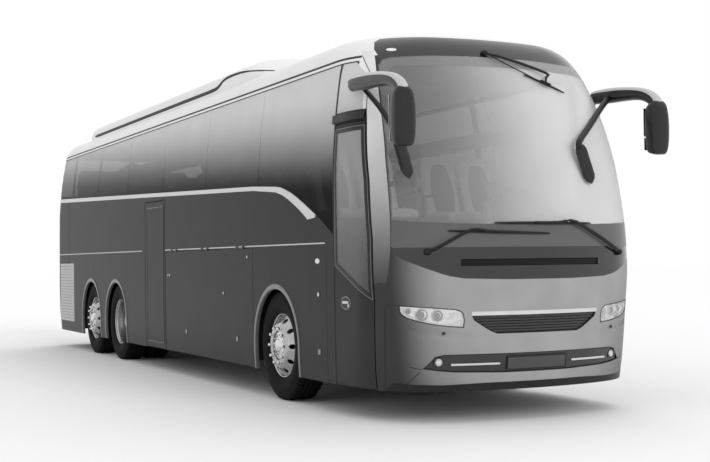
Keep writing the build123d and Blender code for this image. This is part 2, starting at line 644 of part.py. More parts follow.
def make_doors():
    brackets = []
    leaf = skin(side_view(door_region(DOOR_GAP)), LEAF)
    front = [(x - DOOR_GAP - DOOR_FRAME, z) for x, z in NOSE_SEAM if DOOR_GLASS_FRONT < z < DOOR_GLASS_TOP]
    rear_x = FRONT_DOOR_REAR + DOOR_GAP + DOOR_FRAME
    inset = DOOR_GAP + DOOR_FRAME
    pane = xz((rear_x, DOOR_GLASS_REAR), (seam_x(DOOR_GLASS_FRONT) - inset, DOOR_GLASS_FRONT), *front,
              (seam_x(DOOR_GLASS_TOP) - inset, DOOR_GLASS_TOP), (rear_x, DOOR_GLASS_TOP))
    leaf = leaf - (side_view(pane) - BEHIND_GLASS)
    leaf = leaf - side_view(offset(pane, -GLASS_LIP, kind=Kind.INTERSECTION), RIGHT, HALF_WIDTH / 2)
    arm, ears, fixed = swing_gear(RIGHT, FRONT_POST_X, FRONT_PIN_X, FRONT_FIXING_X)
    keep("front_door_leaf", leaf + ears)
    keep("front_door_glass", (OUTER & side_view(pane)) - body_solid(GLASS))
    keep("front_door_arm", arm)
    brackets += fixed
    leaf = skin(side_view(mid_door_region(DOOR_GAP)), LEAF)
    arm, ears, fixed = swing_gear(RIGHT, MID_POST_X, MID_PIN_X, MID_FIXING_X)
    keep("mid_door_leaf", leaf + ears)
    keep("mid_door_arm", arm)
    brackets += fixed
    PARTS.setdefault("hinge_fixings", []).extend(solids_of(brackets))


# ------------------------------------------------------------------ structure under the floor
def make_underframe():
    under_deck = DECK_TOP - DECK_THICKNESS
    tail_plate = TAG_X - WHEEL_BOX_HALF
    rise = (RAIL_BOTTOM, RAIL_TOP)
    frame = []
    for x in (WHEEL_BOX_HALF, -WHEEL_BOX_HALF - PLATE, HOLD_REAR - PLATE, tail_plate - PLATE):
        frame.append(block((x, x + PLATE), (-FAR, FAR), (HOLD_FLOOR, under_deck)) & CABIN)
    frame.append(block((CAB_FRONT, CAB_FRONT + PLATE), (-NOSE_PLATE_HALF, NOSE_PLATE_HALF),
                       (HOLD_FLOOR, NOSE_PLATE_TOP)) & CABIN)
    bay = (WHEEL_BOX_HALF + PLATE, CAB_FRONT)
    rear_bays = [(RAIL_END + RAIL_WIDTH, tail_plate - PLATE), (tail_plate, HOLD_REAR - PLATE)]
    for _, side in SIDES:
        across = sorted((side * (RAIL_OFFSET - RAIL_WIDTH / 2), side * (RAIL_OFFSET + RAIL_WIDTH / 2)))
        front_bays = [bay] if side == LEFT else [(bay[0], FRONT_DOOR_REAR - DOOR_GAP), (STAIR_FRONT, bay[1])]
        for low, high in [(-WHEEL_BOX_HALF, WHEEL_BOX_HALF)] + front_bays + rear_bays:
            frame.append(block((low + SEAT_FIT, high - SEAT_FIT), across, rise))
    reach = RAIL_OFFSET + RAIL_WIDTH / 2
    frame.append(block((RAIL_END, RAIL_END + RAIL_WIDTH), (-reach, reach), rise))
    frame.append(block((RAIL_END, RAIL_END + PLATE), (-TOW_PLATE / 2, TOW_PLATE / 2),
                       (TOW_HEIGHT - PLATE / 2, RAIL_BOTTOM - SEAT_FIT)))
    for span in TOW_LUGS:
        lug = block(span, (-TOW_PLATE / 2, TOW_PLATE / 2), (TOW_HEIGHT - PLATE / 2, TOW_HEIGHT + PLATE / 2))
        pin = (sum(span) / 2, 0, 0)
        frame.append(lug - rod("Z", pin, TOW_BORE, TOW_HEIGHT - PLATE, TOW_HEIGHT + PLATE))
    keep("underframe", *frame)

    houses = []
    spans = ((-WHEEL_BOX_HALF, WHEEL_BOX_HALF), (tail_plate, HOLD_REAR - PLATE))
    clear = AXLE_TUBE_RADIUS + AXLE_CLEARANCE
    for _, side in SIDES:
        for low, high in spans:
            span = (low + SEAT_FIT, high - SEAT_FIT)
            houses.append(block(span, sorted((side * WHEEL_BOX_INNER, side * FAR)),
                                (WHEEL_BOX_TOP - SHEET, WHEEL_BOX_TOP)) & CABIN)
            wall = block(span, sorted((side * WHEEL_BOX_INNER, side * (WHEEL_BOX_INNER + SHEET))),
                         (HOLD_FLOOR, WHEEL_BOX_TOP - SHEET - SEAT_FIT))
            for x in [x for x in ARCHES if low < x < high]:
                wall = wall - block((x - clear, x + clear), (-FAR, FAR), (0, HUB_HEIGHT + clear))
            houses.append(wall)
    keep("wheel_houses", *houses)

    mid_rear = MID_DOOR_FRONT - MID_DOOR_WIDTH
    mid = (mid_rear + SEAT_FIT, MID_DOOR_FRONT - SEAT_FIT)
    boards = []
    decks = [(-2 * REAR_REACH, mid_rear), (MID_DOOR_FRONT, WHEEL_BOX_HALF + PLATE - SEAT_FIT)]
    holds = [(HOLD_REAR, mid_rear), (MID_DOOR_FRONT, -WHEEL_BOX_HALF - PLATE)]
    for full, level in ((decks, (under_deck, DECK_TOP)), (holds, (HOLD_FLOOR, HOLD_FLOOR + PLATE))):
        boards += [block(span, (-FAR, FAR), level) & CABIN for span in full]
        boards.append(block(mid, (-MID_STAIR_INNER, FAR), level) & CABIN)
    ahead_of_plate = WHEEL_BOX_HALF + PLATE
    deck, cab = (under_deck, DECK_TOP), (CAB_FLOOR - DECK_THICKNESS, CAB_FLOOR)
    boards.append(block((ahead_of_plate, DECK_FRONT), (-FAR, -AISLE_EDGE - SEAT_FIT), deck) & CABIN)
    boards.append(block((ahead_of_plate, CAB_FRONT), (-AISLE_EDGE, FAR), cab) & CABIN)
    boards.append(block((STAIR_FRONT, CAB_FRONT), (-STAIR_OUTER, -AISLE_EDGE - SEAT_FIT), cab) & CABIN)

    front_stairs = stairs(STEP_COUNT, AISLE_EDGE, CAB_FLOOR, FRONT_DOOR_REAR - DOOR_GAP, STAIR_FRONT)
    between = (mid_rear + DOOR_GAP, MID_DOOR_FRONT - DOOR_GAP)
    mid_stairs = stairs(STEP_COUNT + 1, MID_STAIR_INNER, DECK_TOP, *between)
    keep("floors", *boards, front_stairs, mid_stairs)
    engine = block((ENGINE_REAR, ENGINE_FRONT), (-ENGINE_HALF, ENGINE_HALF), (ENGINE_LOW, WHEEL_BOX_TOP))
    for x in (ENGINE_REAR, ENGINE_FRONT - 2 * RAIL_WIDTH):
        mount_half = RAIL_OFFSET - RAIL_WIDTH / 2
        engine = engine + block((x, x + 2 * RAIL_WIDTH), (-mount_half, mount_half), (RAIL_BOTTOM, RAIL_TOP))
    keep("engine_block", engine)


def stairs(count, inner, top, low_x, high_x):
    """Steps that rise from the right-hand door to a floor at height top, whose edge is at inner."""
    tread = (STAIR_OUTER - inner) / count
    rise = (top - STEP_FIRST) / count
    upper, under = [], []
    for k in range(count):
        out, z = -STAIR_OUTER + k * tread, STEP_FIRST + k * rise
        upper += [(out, z), (out + tread, z)]
        under += [(out + (PLATE if k else 0), z - PLATE), (out + tread + PLATE, z - PLATE)]
    upper += [(-inner, top - DECK_THICKNESS), (PLATE - inner, top - DECK_THICKNESS)]
    return front_view(yz(*upper, *reversed(under)), low_x, high_x)


# ------------------------------------------------------------------ axles and wheels
def turned(profile, x, across, side):
    """A profile of (radius, distance outwards) turned about a wheel's axis."""
    face = make_face(Plane.XY * Polyline(*[(radius, side * out) for radius, out in profile], close=True))
    return Pos(FRONT_AXLE_X + x, across, HUB_HEIGHT) * revolve(face, Axis.Y)


def tyre(x, across, side):
    half, bead = TYRE_WIDTH / 2, RIM_RADIUS + RUNNING_FIT
    profile = [(bead, 0.74 * half), (RIM_FLANGE, 0.76 * half)]
    shape = [(0.62, 0.86), (0.76, 1.0), (0.90, 0.96), (0.98, 0.86), (1.0, 0.76)]
    profile += [(radius * TYRE_RADIUS, out * half) for radius, out in shape]
    profile += [(radius, -out) for radius, out in reversed(profile)]
    return turned(profile, x, across, side)


def rim(x, across, side):
    """A disc wheel whose bolting face lies well to one side (side) of the tyre's middle."""
    flange = 0.76 * TYRE_WIDTH / 2 + 1
    face = TYRE_WIDTH / 2 + TWIN_GAP / 2
    barrel, lip = RIM_RADIUS - RIM_WALL, flange + 8
    bore = STUB_RADIUS + RUNNING_FIT
    profile = [(RIM_FLANGE, -lip), (RIM_FLANGE, -flange), (RIM_RADIUS, -flange), (RIM_RADIUS, flange),
               (RIM_FLANGE, flange), (RIM_FLANGE, lip), (barrel - 6, lip), (0.8 * barrel, face - 14),
               (0.7 * barrel, face), (bore, face), (bore, face - DISC), (0.68 * barrel, face - DISC),
               (0.76 * barrel, face - 14 - DISC), (barrel, flange - 12), (barrel, -lip)]
    wheel = turned(profile, x, across, side)
    for k in range(HAND_HOLES):
        angle = 2 * math.pi * k / HAND_HOLES
        radius = HAND_HOLE_CIRCLE * barrel
        hole = rod("Y", (x + radius * math.cos(angle), 0, HUB_HEIGHT + radius * math.sin(angle)), HAND_HOLE,
                   across, across + side * 2 * face)
        wheel = wheel - hole
    return wheel


def make_running_gear():
    twin_inner = WHEEL_MID - TYRE_WIDTH - TWIN_GAP
    knuckle_in = KINGPIN_OFFSET - KINGPIN_RADIUS * 2
    for name, side in SIDES:
        for axle, x in (("front", 0.0), ("tag", TAG_X)):
            keep(f"{axle}_tyre_{name}", tyre(x, side * WHEEL_MID, side))
            keep(f"{axle}_rim_{name}", rim(x, side * WHEEL_MID, side))
        twins = [side * WHEEL_MID, side * twin_inner]
        keep(f"drive_tyres_{name}", *[tyre(DRIVE_X, across, side) for across in twins])
        keep(f"drive_rims_{name}", rim(DRIVE_X, twins[0], -side), rim(DRIVE_X, twins[1], side))
        fork_out = KINGPIN_OFFSET + EYE_RADIUS + 6
        fork = (HUB_HEIGHT - FORK_HALF, HUB_HEIGHT + FORK_HALF)
        knuckle = rod("Z", (0, side * KINGPIN_OFFSET, 0), KINGPIN_RADIUS, *fork)
        cheek = sorted((side * fork_out, side * (fork_out + PLATE)))
        knuckle = knuckle + block((-EYE_RADIUS, EYE_RADIUS), cheek, fork)
        for low, high in ((-FORK_HALF, -EYE_HALF - 6), (EYE_HALF + 6, FORK_HALF)):
            knuckle = knuckle + block((-EYE_RADIUS, EYE_RADIUS), sorted((side * knuckle_in, side * fork_out)),
                                      (HUB_HEIGHT + low, HUB_HEIGHT + high))
        stub = sorted((side * fork_out, side * STUB_END))
        knuckle = knuckle + rod("Y", (0, 0, HUB_HEIGHT), STUB_RADIUS, *stub)
        keep(f"knuckle_{name}", knuckle)

    deep = (HUB_HEIGHT - EYE_HALF + 6, HUB_HEIGHT + EYE_HALF - 15)
    beam = block((-55, 55), (-KINGPIN_OFFSET, KINGPIN_OFFSET), deep)
    for _, side in SIDES:
        eye = (0, side * KINGPIN_OFFSET, 0)
        ends = block((-FAR, FAR), sorted((side * (KINGPIN_OFFSET - 8), side * FAR)), (0, ROOF_HEIGHT))
        beam = beam - ends + rod("Z", eye, EYE_RADIUS, HUB_HEIGHT - EYE_HALF, HUB_HEIGHT + EYE_HALF)
    for _, side in SIDES:
        eye = (0, side * KINGPIN_OFFSET, 0)
        beam = beam - rod("Z", eye, KINGPIN_RADIUS + RUNNING_FIT, 0, ROOF_HEIGHT)
    axles = [beam]
    springs = [rod("Z", (0, side * RAIL_OFFSET, 0), SPRING_RADIUS, HUB_HEIGHT + EYE_HALF - 15, RAIL_BOTTOM)
               for _, side in SIDES]
    for x, tube_end, stub_end in ((DRIVE_X, DRIVE_TUBE_END, DRIVE_STUB_END), (TAG_X, WHEEL_MID, STUB_END)):
        at = (x, 0, HUB_HEIGHT)
        axle = rod("Y", at, AXLE_TUBE_RADIUS, -tube_end, tube_end)
        axle = axle + rod("Y", at, STUB_RADIUS, -stub_end, stub_end)
        if x == DRIVE_X:
            axle = axle + rod("Y", at, DIFF_RADIUS, -DIFF_RADIUS, DIFF_RADIUS)
        for _, side in SIDES:
            across = sorted((side * (RAIL_OFFSET - RAIL_WIDTH / 2), side * (RAIL_OFFSET + RAIL_WIDTH / 2)))
            beam_low = SPRING_SEAT - RAIL_WIDTH
            axle = axle + block((x - ARM_REACH, x + ARM_REACH), across, (beam_low, SPRING_SEAT))
            for offset_x in (-SPRING_OFFSET, SPRING_OFFSET):
                at_spring = (x + offset_x, side * RAIL_OFFSET, 0)
                springs.append(rod("Z", at_spring, SPRING_RADIUS, SPRING_SEAT, RAIL_BOTTOM))
        axles.append(axle)
    keep("axles", *axles)
    keep("air_springs", *springs)


# ------------------------------------------------------------------ inside
def seat(x, across, floor, scale=1.0):
    points = [(x + scale * dx, floor + scale * dz) for dx, dz in SEAT_PROFILE]
    return Pos(0, across - SEAT_WIDTH / 2, 0) * side_view(xz(*points), LEFT, 0, SEAT_WIDTH)


def make_interior():
    for name, side in SIDES:
        first = SEAT_FIRST[name]
        rows = [first - k * SEAT_PITCH for k in range(int((first - SEAT_LAST) / SEAT_PITCH) + 1)]
        if side == RIGHT:
            stair_rear = MID_DOOR_FRONT - MID_DOOR_WIDTH
            rows = [x for x in rows if not stair_rear - SEAT_PROFILE[3][0] < x < MID_DOOR_FRONT]
        keep(f"passenger_seats_{name}", *[seat(x, side * out, DECK_TOP) for x in rows for out in SEAT_OUT])
        rack = block((LAST_PILLAR, QUARTER_PANE_REAR - SEAT_PITCH), sorted((side * RACK_INNER, side * FAR)),
                     (RACK_LOW, RACK_LOW + RACK_DEPTH)) & CABIN
        PARTS.setdefault("parcel_racks", []).extend(solids_of(rack))
    keep("driver_seat", seat(DRIVER_X, DRIVER_Y, CAB_FLOOR, 1.03))
    board = side_view(xz(*DASH_PROFILE), LEFT) + side_view(xz(*DASH_PROFILE), RIGHT)
    dash = block((0, FAR), (-DASH_HALF, DASH_HALF), (0, ROOF_HEIGHT)) & board & CABIN
    centre = Vector(FRONT_AXLE_X + STEER_X, DRIVER_Y, STEER_Z)
    tilt = Vector(-math.sin(math.radians(STEER_TILT)), 0, math.cos(math.radians(STEER_TILT)))
    plane = Plane(origin=centre, x_dir=(0, 1, 0), z_dir=tilt)
    wheel = plane * Torus(STEER_RADIUS, STEER_GRIP)
    wheel = wheel + plane * Cylinder(STEER_HUB, STEER_GRIP * 2)
    for k in range(3):
        spoke = Pos(STEER_RADIUS / 2, 0, 0) * Box(STEER_RADIUS, 1.5 * STEER_GRIP, STEER_GRIP)
        spoke = Rot(0, 0, 90 + 120 * k) * spoke
        wheel = wheel + plane * spoke
    wheel = wheel + plane * Pos(0, 0, -STEER_SHAFT) * Cylinder(PIN_RADIUS, 2 * STEER_SHAFT)
    column = plane * Pos(0, 0, -STEER_GRIP - PIN_PLAY - STEER_COLUMN / 2) * Cylinder(STEER_HUB, STEER_COLUMN)
    bore = Cylinder(PIN_RADIUS + RUNNING_FIT, 2 * STEER_SHAFT + 2)
    column = column - plane * Pos(0, 0, -STEER_SHAFT) * bore
    keep("steering_wheel", wheel)
    keep("dashboard", dash + column)


# ------------------------------------------------------------------ outside fittings
def bar(start, end, radius):
    """A round bar between two points."""
    start, end = Vector(*start), Vector(*end)
    plane = Plane(origin=start + Vector(FRONT_AXLE_X, 0, 0), z_dir=end - start)
    return plane * Cylinder(radius, (end - start).length, align=(Align.CENTER, Align.CENTER, Align.MIN))


def make_mirrors():
    pieces = []
    for name, side in SIDES:
        arm = side_view(xz(*MIRROR_ARM), side, MIRROR_OFFSET - 50, MIRROR_OFFSET + 50)
        root = side_view(xz(*MIRROR_ARM[:2], *MIRROR_ROOT), side, HALF_WIDTH - 4 * WALL, MIRROR_OFFSET + 50)
        head = side_view(xz(*MIRROR_HEAD), side, MIRROR_OFFSET - MIRROR_HALF, MIRROR_OFFSET + MIRROR_HALF)
        head = fillet(head.edges().filter_by(Axis.Y), 30)
        root_point, elbow, tip = AUX_MIRRORS[name]
        aux = bar(root_point, elbow, 14) + Pos(FRONT_AXLE_X + elbow[0], elbow[1], elbow[2]) * Sphere(22)
        aux = aux + bar(elbow, tip, 30)
        whole = (arm + root + head + aux) - OUTER
        pieces.append(max(whole.solids(), key=lambda solid: solid.volume))
    keep("mirrors", *pieces)


def make_wipers():
    pieces = []
    for pivot, elbow, tip_a, tip_b in WIPERS:
        lifted = [(x + WIPER_LIFT, y, z) for x, y, z in (elbow, tip_a, tip_b)]
        wiper = bar((pivot[0] - WALL, pivot[1], pivot[2]), (pivot[0] + WIPER_LIFT, pivot[1], pivot[2]), 16)
        wiper = wiper + bar((pivot[0] + WIPER_LIFT, pivot[1], pivot[2]), lifted[0], 9)
        wiper = wiper + bar(lifted[1], lifted[2], 10)
        middle = tuple((a + b) / 2 for a, b in zip(lifted[1], lifted[2]))
        wiper = wiper + bar(lifted[0], middle, 8)
        pieces.append(wiper - OUTER)
    keep("wipers", *pieces)


def make_roof_unit():
    section = yz_mirrored(*AC_SECTION)
    unit = front_view(section, AC_REAR, AC_FRONT)
    crest, top = AC_SECTION[-1][1], 2 * ROOF_HEIGHT
    nose_cut = [(AC_FRONT - AC_SLOPE, top), (AC_FRONT - AC_SLOPE, crest), (AC_FRONT, ROOF_HEIGHT),
                (AC_FRONT + AC_SLOPE, ROOF_HEIGHT), (AC_FRONT + AC_SLOPE, top)]
    tail_cut = [(AC_REAR + AC_TAIL_SLOPE, top), (AC_REAR + AC_TAIL_SLOPE, crest),
                (AC_REAR, ROOF_HEIGHT), (AC_REAR - AC_SLOPE, ROOF_HEIGHT), (AC_REAR - AC_SLOPE, top)]
    for cut in (nose_cut, tail_cut):
        unit = unit - side_view(xz(*cut), LEFT) - side_view(xz(*cut), RIGHT)
    unit = unit - body_solid(-SEAT_FIT)
    keep("roof_unit", max(unit.solids(), key=lambda solid: solid.volume))


def finish():
    """Writes each piece to its own file."""
    os.makedirs("parts", exist_ok=True)
    for name, solids in PARTS.items():
        export_step(Compound(children=solids) if len(solids) > 1 else solids[0], f"parts/{name}.step")


for make in (make_sides, make_nose, make_roof_and_tail, make_flaps, make_doors, make_underframe,
             make_running_gear, make_interior, make_mirrors, make_wipers, make_roof_unit):
    make()
finish()
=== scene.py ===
# %% [markdown]
# # A three-axle touring coach
# This file is a lesson in cells. It dresses the plain solids of a coach in painted panels, dark glass,
# wheels, lamps and seats. Every piece is made in metres, in the frame of the solids, and rides on the body
# that carries it, so doors, flaps and wheels still move.

# %% Load the frame
import math
from collections import namedtuple

import bmesh
import bpy
import numpy as np
from mathutils import Matrix, Vector
from mathutils.geometry import delaunay_2d_cdt


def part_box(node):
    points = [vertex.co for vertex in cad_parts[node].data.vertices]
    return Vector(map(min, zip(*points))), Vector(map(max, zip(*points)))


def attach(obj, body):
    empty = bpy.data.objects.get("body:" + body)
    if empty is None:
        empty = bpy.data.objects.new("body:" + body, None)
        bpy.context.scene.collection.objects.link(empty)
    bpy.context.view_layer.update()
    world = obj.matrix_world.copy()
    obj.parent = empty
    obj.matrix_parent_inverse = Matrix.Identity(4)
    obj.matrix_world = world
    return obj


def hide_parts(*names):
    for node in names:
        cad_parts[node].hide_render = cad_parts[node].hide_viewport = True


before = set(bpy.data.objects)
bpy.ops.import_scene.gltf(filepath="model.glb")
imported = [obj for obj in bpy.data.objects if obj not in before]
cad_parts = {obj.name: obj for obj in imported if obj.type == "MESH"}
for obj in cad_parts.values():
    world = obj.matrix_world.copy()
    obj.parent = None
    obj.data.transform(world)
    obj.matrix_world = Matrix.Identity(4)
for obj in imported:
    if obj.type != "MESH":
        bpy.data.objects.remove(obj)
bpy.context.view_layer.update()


def plain_box(box):
    """A box as plain lists of numbers."""
    return [[round(float(value), 6) for value in corner] for corner in box]


low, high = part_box("front_rim_left")
AXLE = (low.x + high.x) / 2           # X of the front axle; lengths below count from it
HUB = (low.z + high.z) / 2            # height of the wheel centres
print("front axle at", round(AXLE, 4), "hub height", round(HUB, 4))

# %% [markdown]
# ## The camera
# A camera is a place, a direction and a lens. The coach is seen from ahead of its right-hand front corner, at
# the height of a child's eyes, through a long lens that keeps the sides from stretching.

# %% Camera
EYE = Vector((AXLE + 10.965, -5.6446, 1.3063))
YAW, PITCH, ROLL = 0.46198, 0.024945, -0.012252
LENS_MM, SENSOR_MM = 62.98, 36.0
SHIFT = (-0.03224, -0.00197)
FARTHEST = 400.0                      # the camera sees this far


def aim(camera):
    """Stands the camera at its place and turns it along its yaw, pitch and roll."""
    ahead = Vector((-math.cos(YAW) * math.cos(PITCH), math.sin(YAW) * math.cos(PITCH), math.sin(PITCH)))
    right = ahead.cross(Vector((0, 0, 1))).normalized()
    up = right.cross(ahead)
    across = math.cos(ROLL) * right + math.sin(ROLL) * up
    upward = math.cos(ROLL) * up - math.sin(ROLL) * right
    turn = Matrix((across, upward, -ahead)).transposed().to_4x4()
    camera.matrix_world = Matrix.Translation(EYE) @ turn


lens = bpy.data.cameras.new("camera")
lens.lens, lens.sensor_width = LENS_MM, SENSOR_MM
lens.shift_x, lens.shift_y = SHIFT
lens.clip_end = FARTHEST
camera = bpy.data.objects.new("camera", lens)
bpy.context.scene.collection.objects.link(camera)
aim(camera)
bpy.context.scene.camera = camera
print("camera at", tuple(round(value, 2) for value in EYE))

# %% [markdown]
# ## The rule of the body's surface
# One rule makes the body: at every height its outline is a shallow bow at the nose, two round front corners,
# two straight sides and tighter corners at the tail. The table says how far each height lies in from the
# widest outline. A monotone cubic runs between its rows and can't swing past their values, so the skin never
# bulges. A point of the skin has two coordinates: its height, and its distance round the outline from the
# nose, positive on the left. A panel is then a flat drawing that the rule wraps round the coach.

# %% Body surface
NOSE, TAIL, HALF = 2.595, 9.705, 1.275
NOSE_BOW, TAIL_BOW, TAIL_CORNER = 2.54, 6.0, 0.18
FRONT_CORNER, WIDEST_CORNER = 0.70, 0.8   # radius, and its greatest share of the half width
SKIRT, GUTTER, ROOF = 0.26, 3.03, 3.285
LEFT, RIGHT = 1, -1
LEVELS = np.array([
    # height, nose set back, tail set in, side set in
    (0.260, 0.125, 0.105, 0.013), (0.450, 0.090, 0.045, 0.003), (0.900, 0.035, 0.005, 0.0),
    (1.250, 0.0, 0.0, 0.0), (1.500, 0.015, 0.005, 0.0), (2.000, 0.115, 0.015, 0.001),
    (2.450, 0.265, 0.035, 0.025), (2.800, 0.445, 0.065, 0.065), (3.030, 0.610, 0.105, 0.107),
    (3.130, 0.700, 0.145, 0.152), (3.205, 0.810, 0.205, 0.225), (3.252, 0.980, 0.305, 0.345),
    (3.285, 1.400, 0.505, 0.640)])


def monotone_slopes(steps, rises):
    """The slopes of a monotone cubic through a table, one column at a time."""
    slopes = np.zeros((len(steps) + 1, rises.shape[1]))
    slopes[0], slopes[-1] = rises[0], rises[-1]
    for k in range(1, len(steps)):
        before, after = rises[k - 1], rises[k]
        same = before * after > 0
        near, far = 2 * steps[k] + steps[k - 1], steps[k] + 2 * steps[k - 1]
        with np.errstate(divide="ignore", invalid="ignore"):
            mean = (near + far) / (near / before + far / after)
        slopes[k] = np.where(same, mean, 0.0)
    return slopes


HEIGHTS, INSETS = LEVELS[:, 0], LEVELS[:, 1:]
STEPS = np.diff(HEIGHTS)
SLOPES = monotone_slopes(STEPS, np.diff(INSETS, axis=0) / STEPS[:, None])


def insets(z):
    """Nose, tail and side inset at each height."""
    k = np.clip(np.searchsorted(HEIGHTS, z) - 1, 0, len(STEPS) - 1)
    step = STEPS[k][:, None]
    t = (np.clip(z, HEIGHTS[0], HEIGHTS[-1]) - HEIGHTS[k])[:, None] / step
    start, end = INSETS[k], INSETS[k + 1]
    return ((2 * t ** 3 - 3 * t ** 2 + 1) * start + (t ** 3 - 2 * t ** 2 + t) * step * SLOPES[k]
            + (3 * t ** 2 - 2 * t ** 3) * end + (t ** 3 - t ** 2) * step * SLOPES[k + 1])


print(f"{len(LEVELS)} heights from {SKIRT} m to {ROOF} m")

# %% Outline at a height
Outline = namedtuple("Outline", "half corner bow_x corner_x turn stern_x rear_x rear_turn ends")


def outline(z):
    """The centres, turns and lengths of the arcs that make the outline at each height."""
    back, tail_in, side_in = insets(z).T
    half = HALF - side_in
    corner = np.minimum(FRONT_CORNER, WIDEST_CORNER * half)
    bow_x = NOSE - back - NOSE_BOW
    corner_x = bow_x + np.sqrt((NOSE_BOW - corner) ** 2 - (half - corner) ** 2)
    turn = np.arcsin((half - corner) / (NOSE_BOW - corner))
    stern_x = TAIL_BOW - (TAIL - tail_in)
    rear_x = stern_x - np.sqrt((TAIL_BOW - TAIL_CORNER) ** 2 - (half - TAIL_CORNER) ** 2)
    rear_turn = np.arcsin((half - TAIL_CORNER) / (TAIL_BOW - TAIL_CORNER))
    ends = np.cumsum([NOSE_BOW * turn, corner * (math.pi / 2 - turn), corner_x - rear_x,
                      TAIL_CORNER * (math.pi / 2 - rear_turn), TAIL_BOW * rear_turn], axis=0)
    return Outline(half, corner, bow_x, corner_x, turn, stern_x, rear_x, rear_turn, ends)


print("once round the coach at its widest:", round(2 * float(outline(LEVELS[3:4, 0]).ends[4][0]), 2), "m")

# %% Points of the skin
NUDGE = 0.002                         # how far apart two points lie that give a direction on the skin


def body_at(u, z, proud=0.0):
    """Points of the skin, or of a layer that much outside it."""
    u, z = np.asarray(u, float), np.asarray(z, float)

    def bare(u, z):
        half, corner, bow_x, corner_x, turn, stern_x, rear_x, rear_turn, ends = outline(z)
        a = np.minimum(np.abs(u), ends[4])
        bow, round_ = a / NOSE_BOW, turn + (a - ends[0]) / corner
        rear = math.pi / 2 + (a - ends[2]) / TAIL_CORNER
        stern = math.pi - rear_turn + (a - ends[3]) / TAIL_BOW
        zones = [a < ends[0], a < ends[1], a < ends[2], a < ends[3]]
        x = np.select(zones, [bow_x + NOSE_BOW * np.cos(bow), corner_x + corner * np.cos(round_),
                              corner_x - (a - ends[1]), rear_x + TAIL_CORNER * np.cos(rear)],
                      stern_x + TAIL_BOW * np.cos(stern))
        y = np.select(zones, [NOSE_BOW * np.sin(bow), half - corner + corner * np.sin(round_), half,
                              half - TAIL_CORNER + TAIL_CORNER * np.sin(rear)], TAIL_BOW * np.sin(stern))
        return np.stack([x, np.sign(u) * y, z], axis=-1)

    points = bare(u, z)
    if np.any(proud):
        along = bare(u + NUDGE, z) - bare(u - NUDGE, z)
        upward = bare(u, np.minimum(z + NUDGE, ROOF)) - bare(u, np.maximum(z - NUDGE, SKIRT))
        normal = np.cross(along, upward)
        normal /= np.linalg.norm(normal, axis=1)[:, None]
        points = points + normal * np.reshape(proud, (-1, 1))
    return points


# %% Drawings wrapped onto the skin
def dense(points, reach=0.04):
    """A closed drawing with extra points, none farther apart than reach."""
    points = np.asarray(points, float)
    out = []
    for a, b in zip(points, np.roll(points, -1, axis=0)):
        count = max(1, math.ceil(np.linalg.norm(b - a) / reach))
        out += [a + (b - a) * k / count for k in range(count)]
    return np.array(out)


def from_side(points, side):
    """A drawing seen from the side, (x, z), wrapped onto one side of the coach."""
    x, z = dense(points).T
    o = outline(z)
    front = o.ends[0] + o.corner * (np.arccos(np.clip((x - o.corner_x) / o.corner, -1, 1)) - o.turn)
    back = o.ends[2] + TAIL_CORNER * (np.arccos(np.clip((x - o.rear_x) / TAIL_CORNER, -1, 1)) - math.pi / 2)
    u = np.where(x > o.corner_x, front, np.where(x < o.rear_x, back, o.ends[1] + o.corner_x - x))
    return np.stack([side * u, z], axis=1)


def from_ahead(points):
    """A drawing seen from ahead, (y, z), wrapped onto the nose."""
    y, z = dense(points).T
    o = outline(z)
    across = np.abs(y)
    reach = np.arcsin(np.clip((across - o.half + o.corner) / o.corner, -1, 1))
    u = np.where(across < NOSE_BOW * np.sin(o.turn), NOSE_BOW * np.arcsin(across / NOSE_BOW),
                 o.ends[0] + o.corner * (reach - o.turn))
    return np.stack([np.sign(y) * u, z], axis=1)


def from_behind(points):
    """A drawing seen from behind, (y, z), wrapped onto one half of the tail. All its y have one sign."""
    y, z = dense(points).T
    o = outline(z)
    across = np.abs(y)
    reach = np.arcsin(np.clip((across - o.half + TAIL_CORNER) / TAIL_CORNER, -1, 1))
    bend = o.ends[2] + TAIL_CORNER * (math.pi / 2 - reach)
    u = np.where(across < TAIL_BOW * np.sin(o.rear_turn), o.ends[4] - TAIL_BOW * np.arcsin(across / TAIL_BOW),
                 bend)
    return np.stack([np.where(y < 0, -1, 1) * u, z], axis=1)


# %% [markdown]
# ## Finishes
# A finish is never one flat colour. Each one gets a slow change of tone and a fine grain from noise on the
# piece's own coordinates, so it stays put when a door swings. Some finishes also carry painted light: the
# side paint is painted a little lighter towards the skirt, as road light would make it, and the glass is
# painted lighter towards the roof, a painted reflection of the sky.

# %% Finishes
def grey(level):
    """A neutral colour as it looks on a screen, from 0 to 255, as a linear colour."""
    value = level / 255
    value = value / 12.92 if value <= 0.04045 else ((value + 0.055) / 1.055) ** 2.4
    return (value, value, value, 1.0)


def fill(node, **values):
    """Writes fixed values into a node's sockets; an underscore stands for a blank in a socket's name."""
    for socket, value in values.items():
        node.inputs[socket.replace("_", " ")].default_value = value


def wire(start, output, end, entry):
    """Joins an output of one node to an input of another."""
    start.id_data.links.new(start.outputs[output], end.inputs[entry])


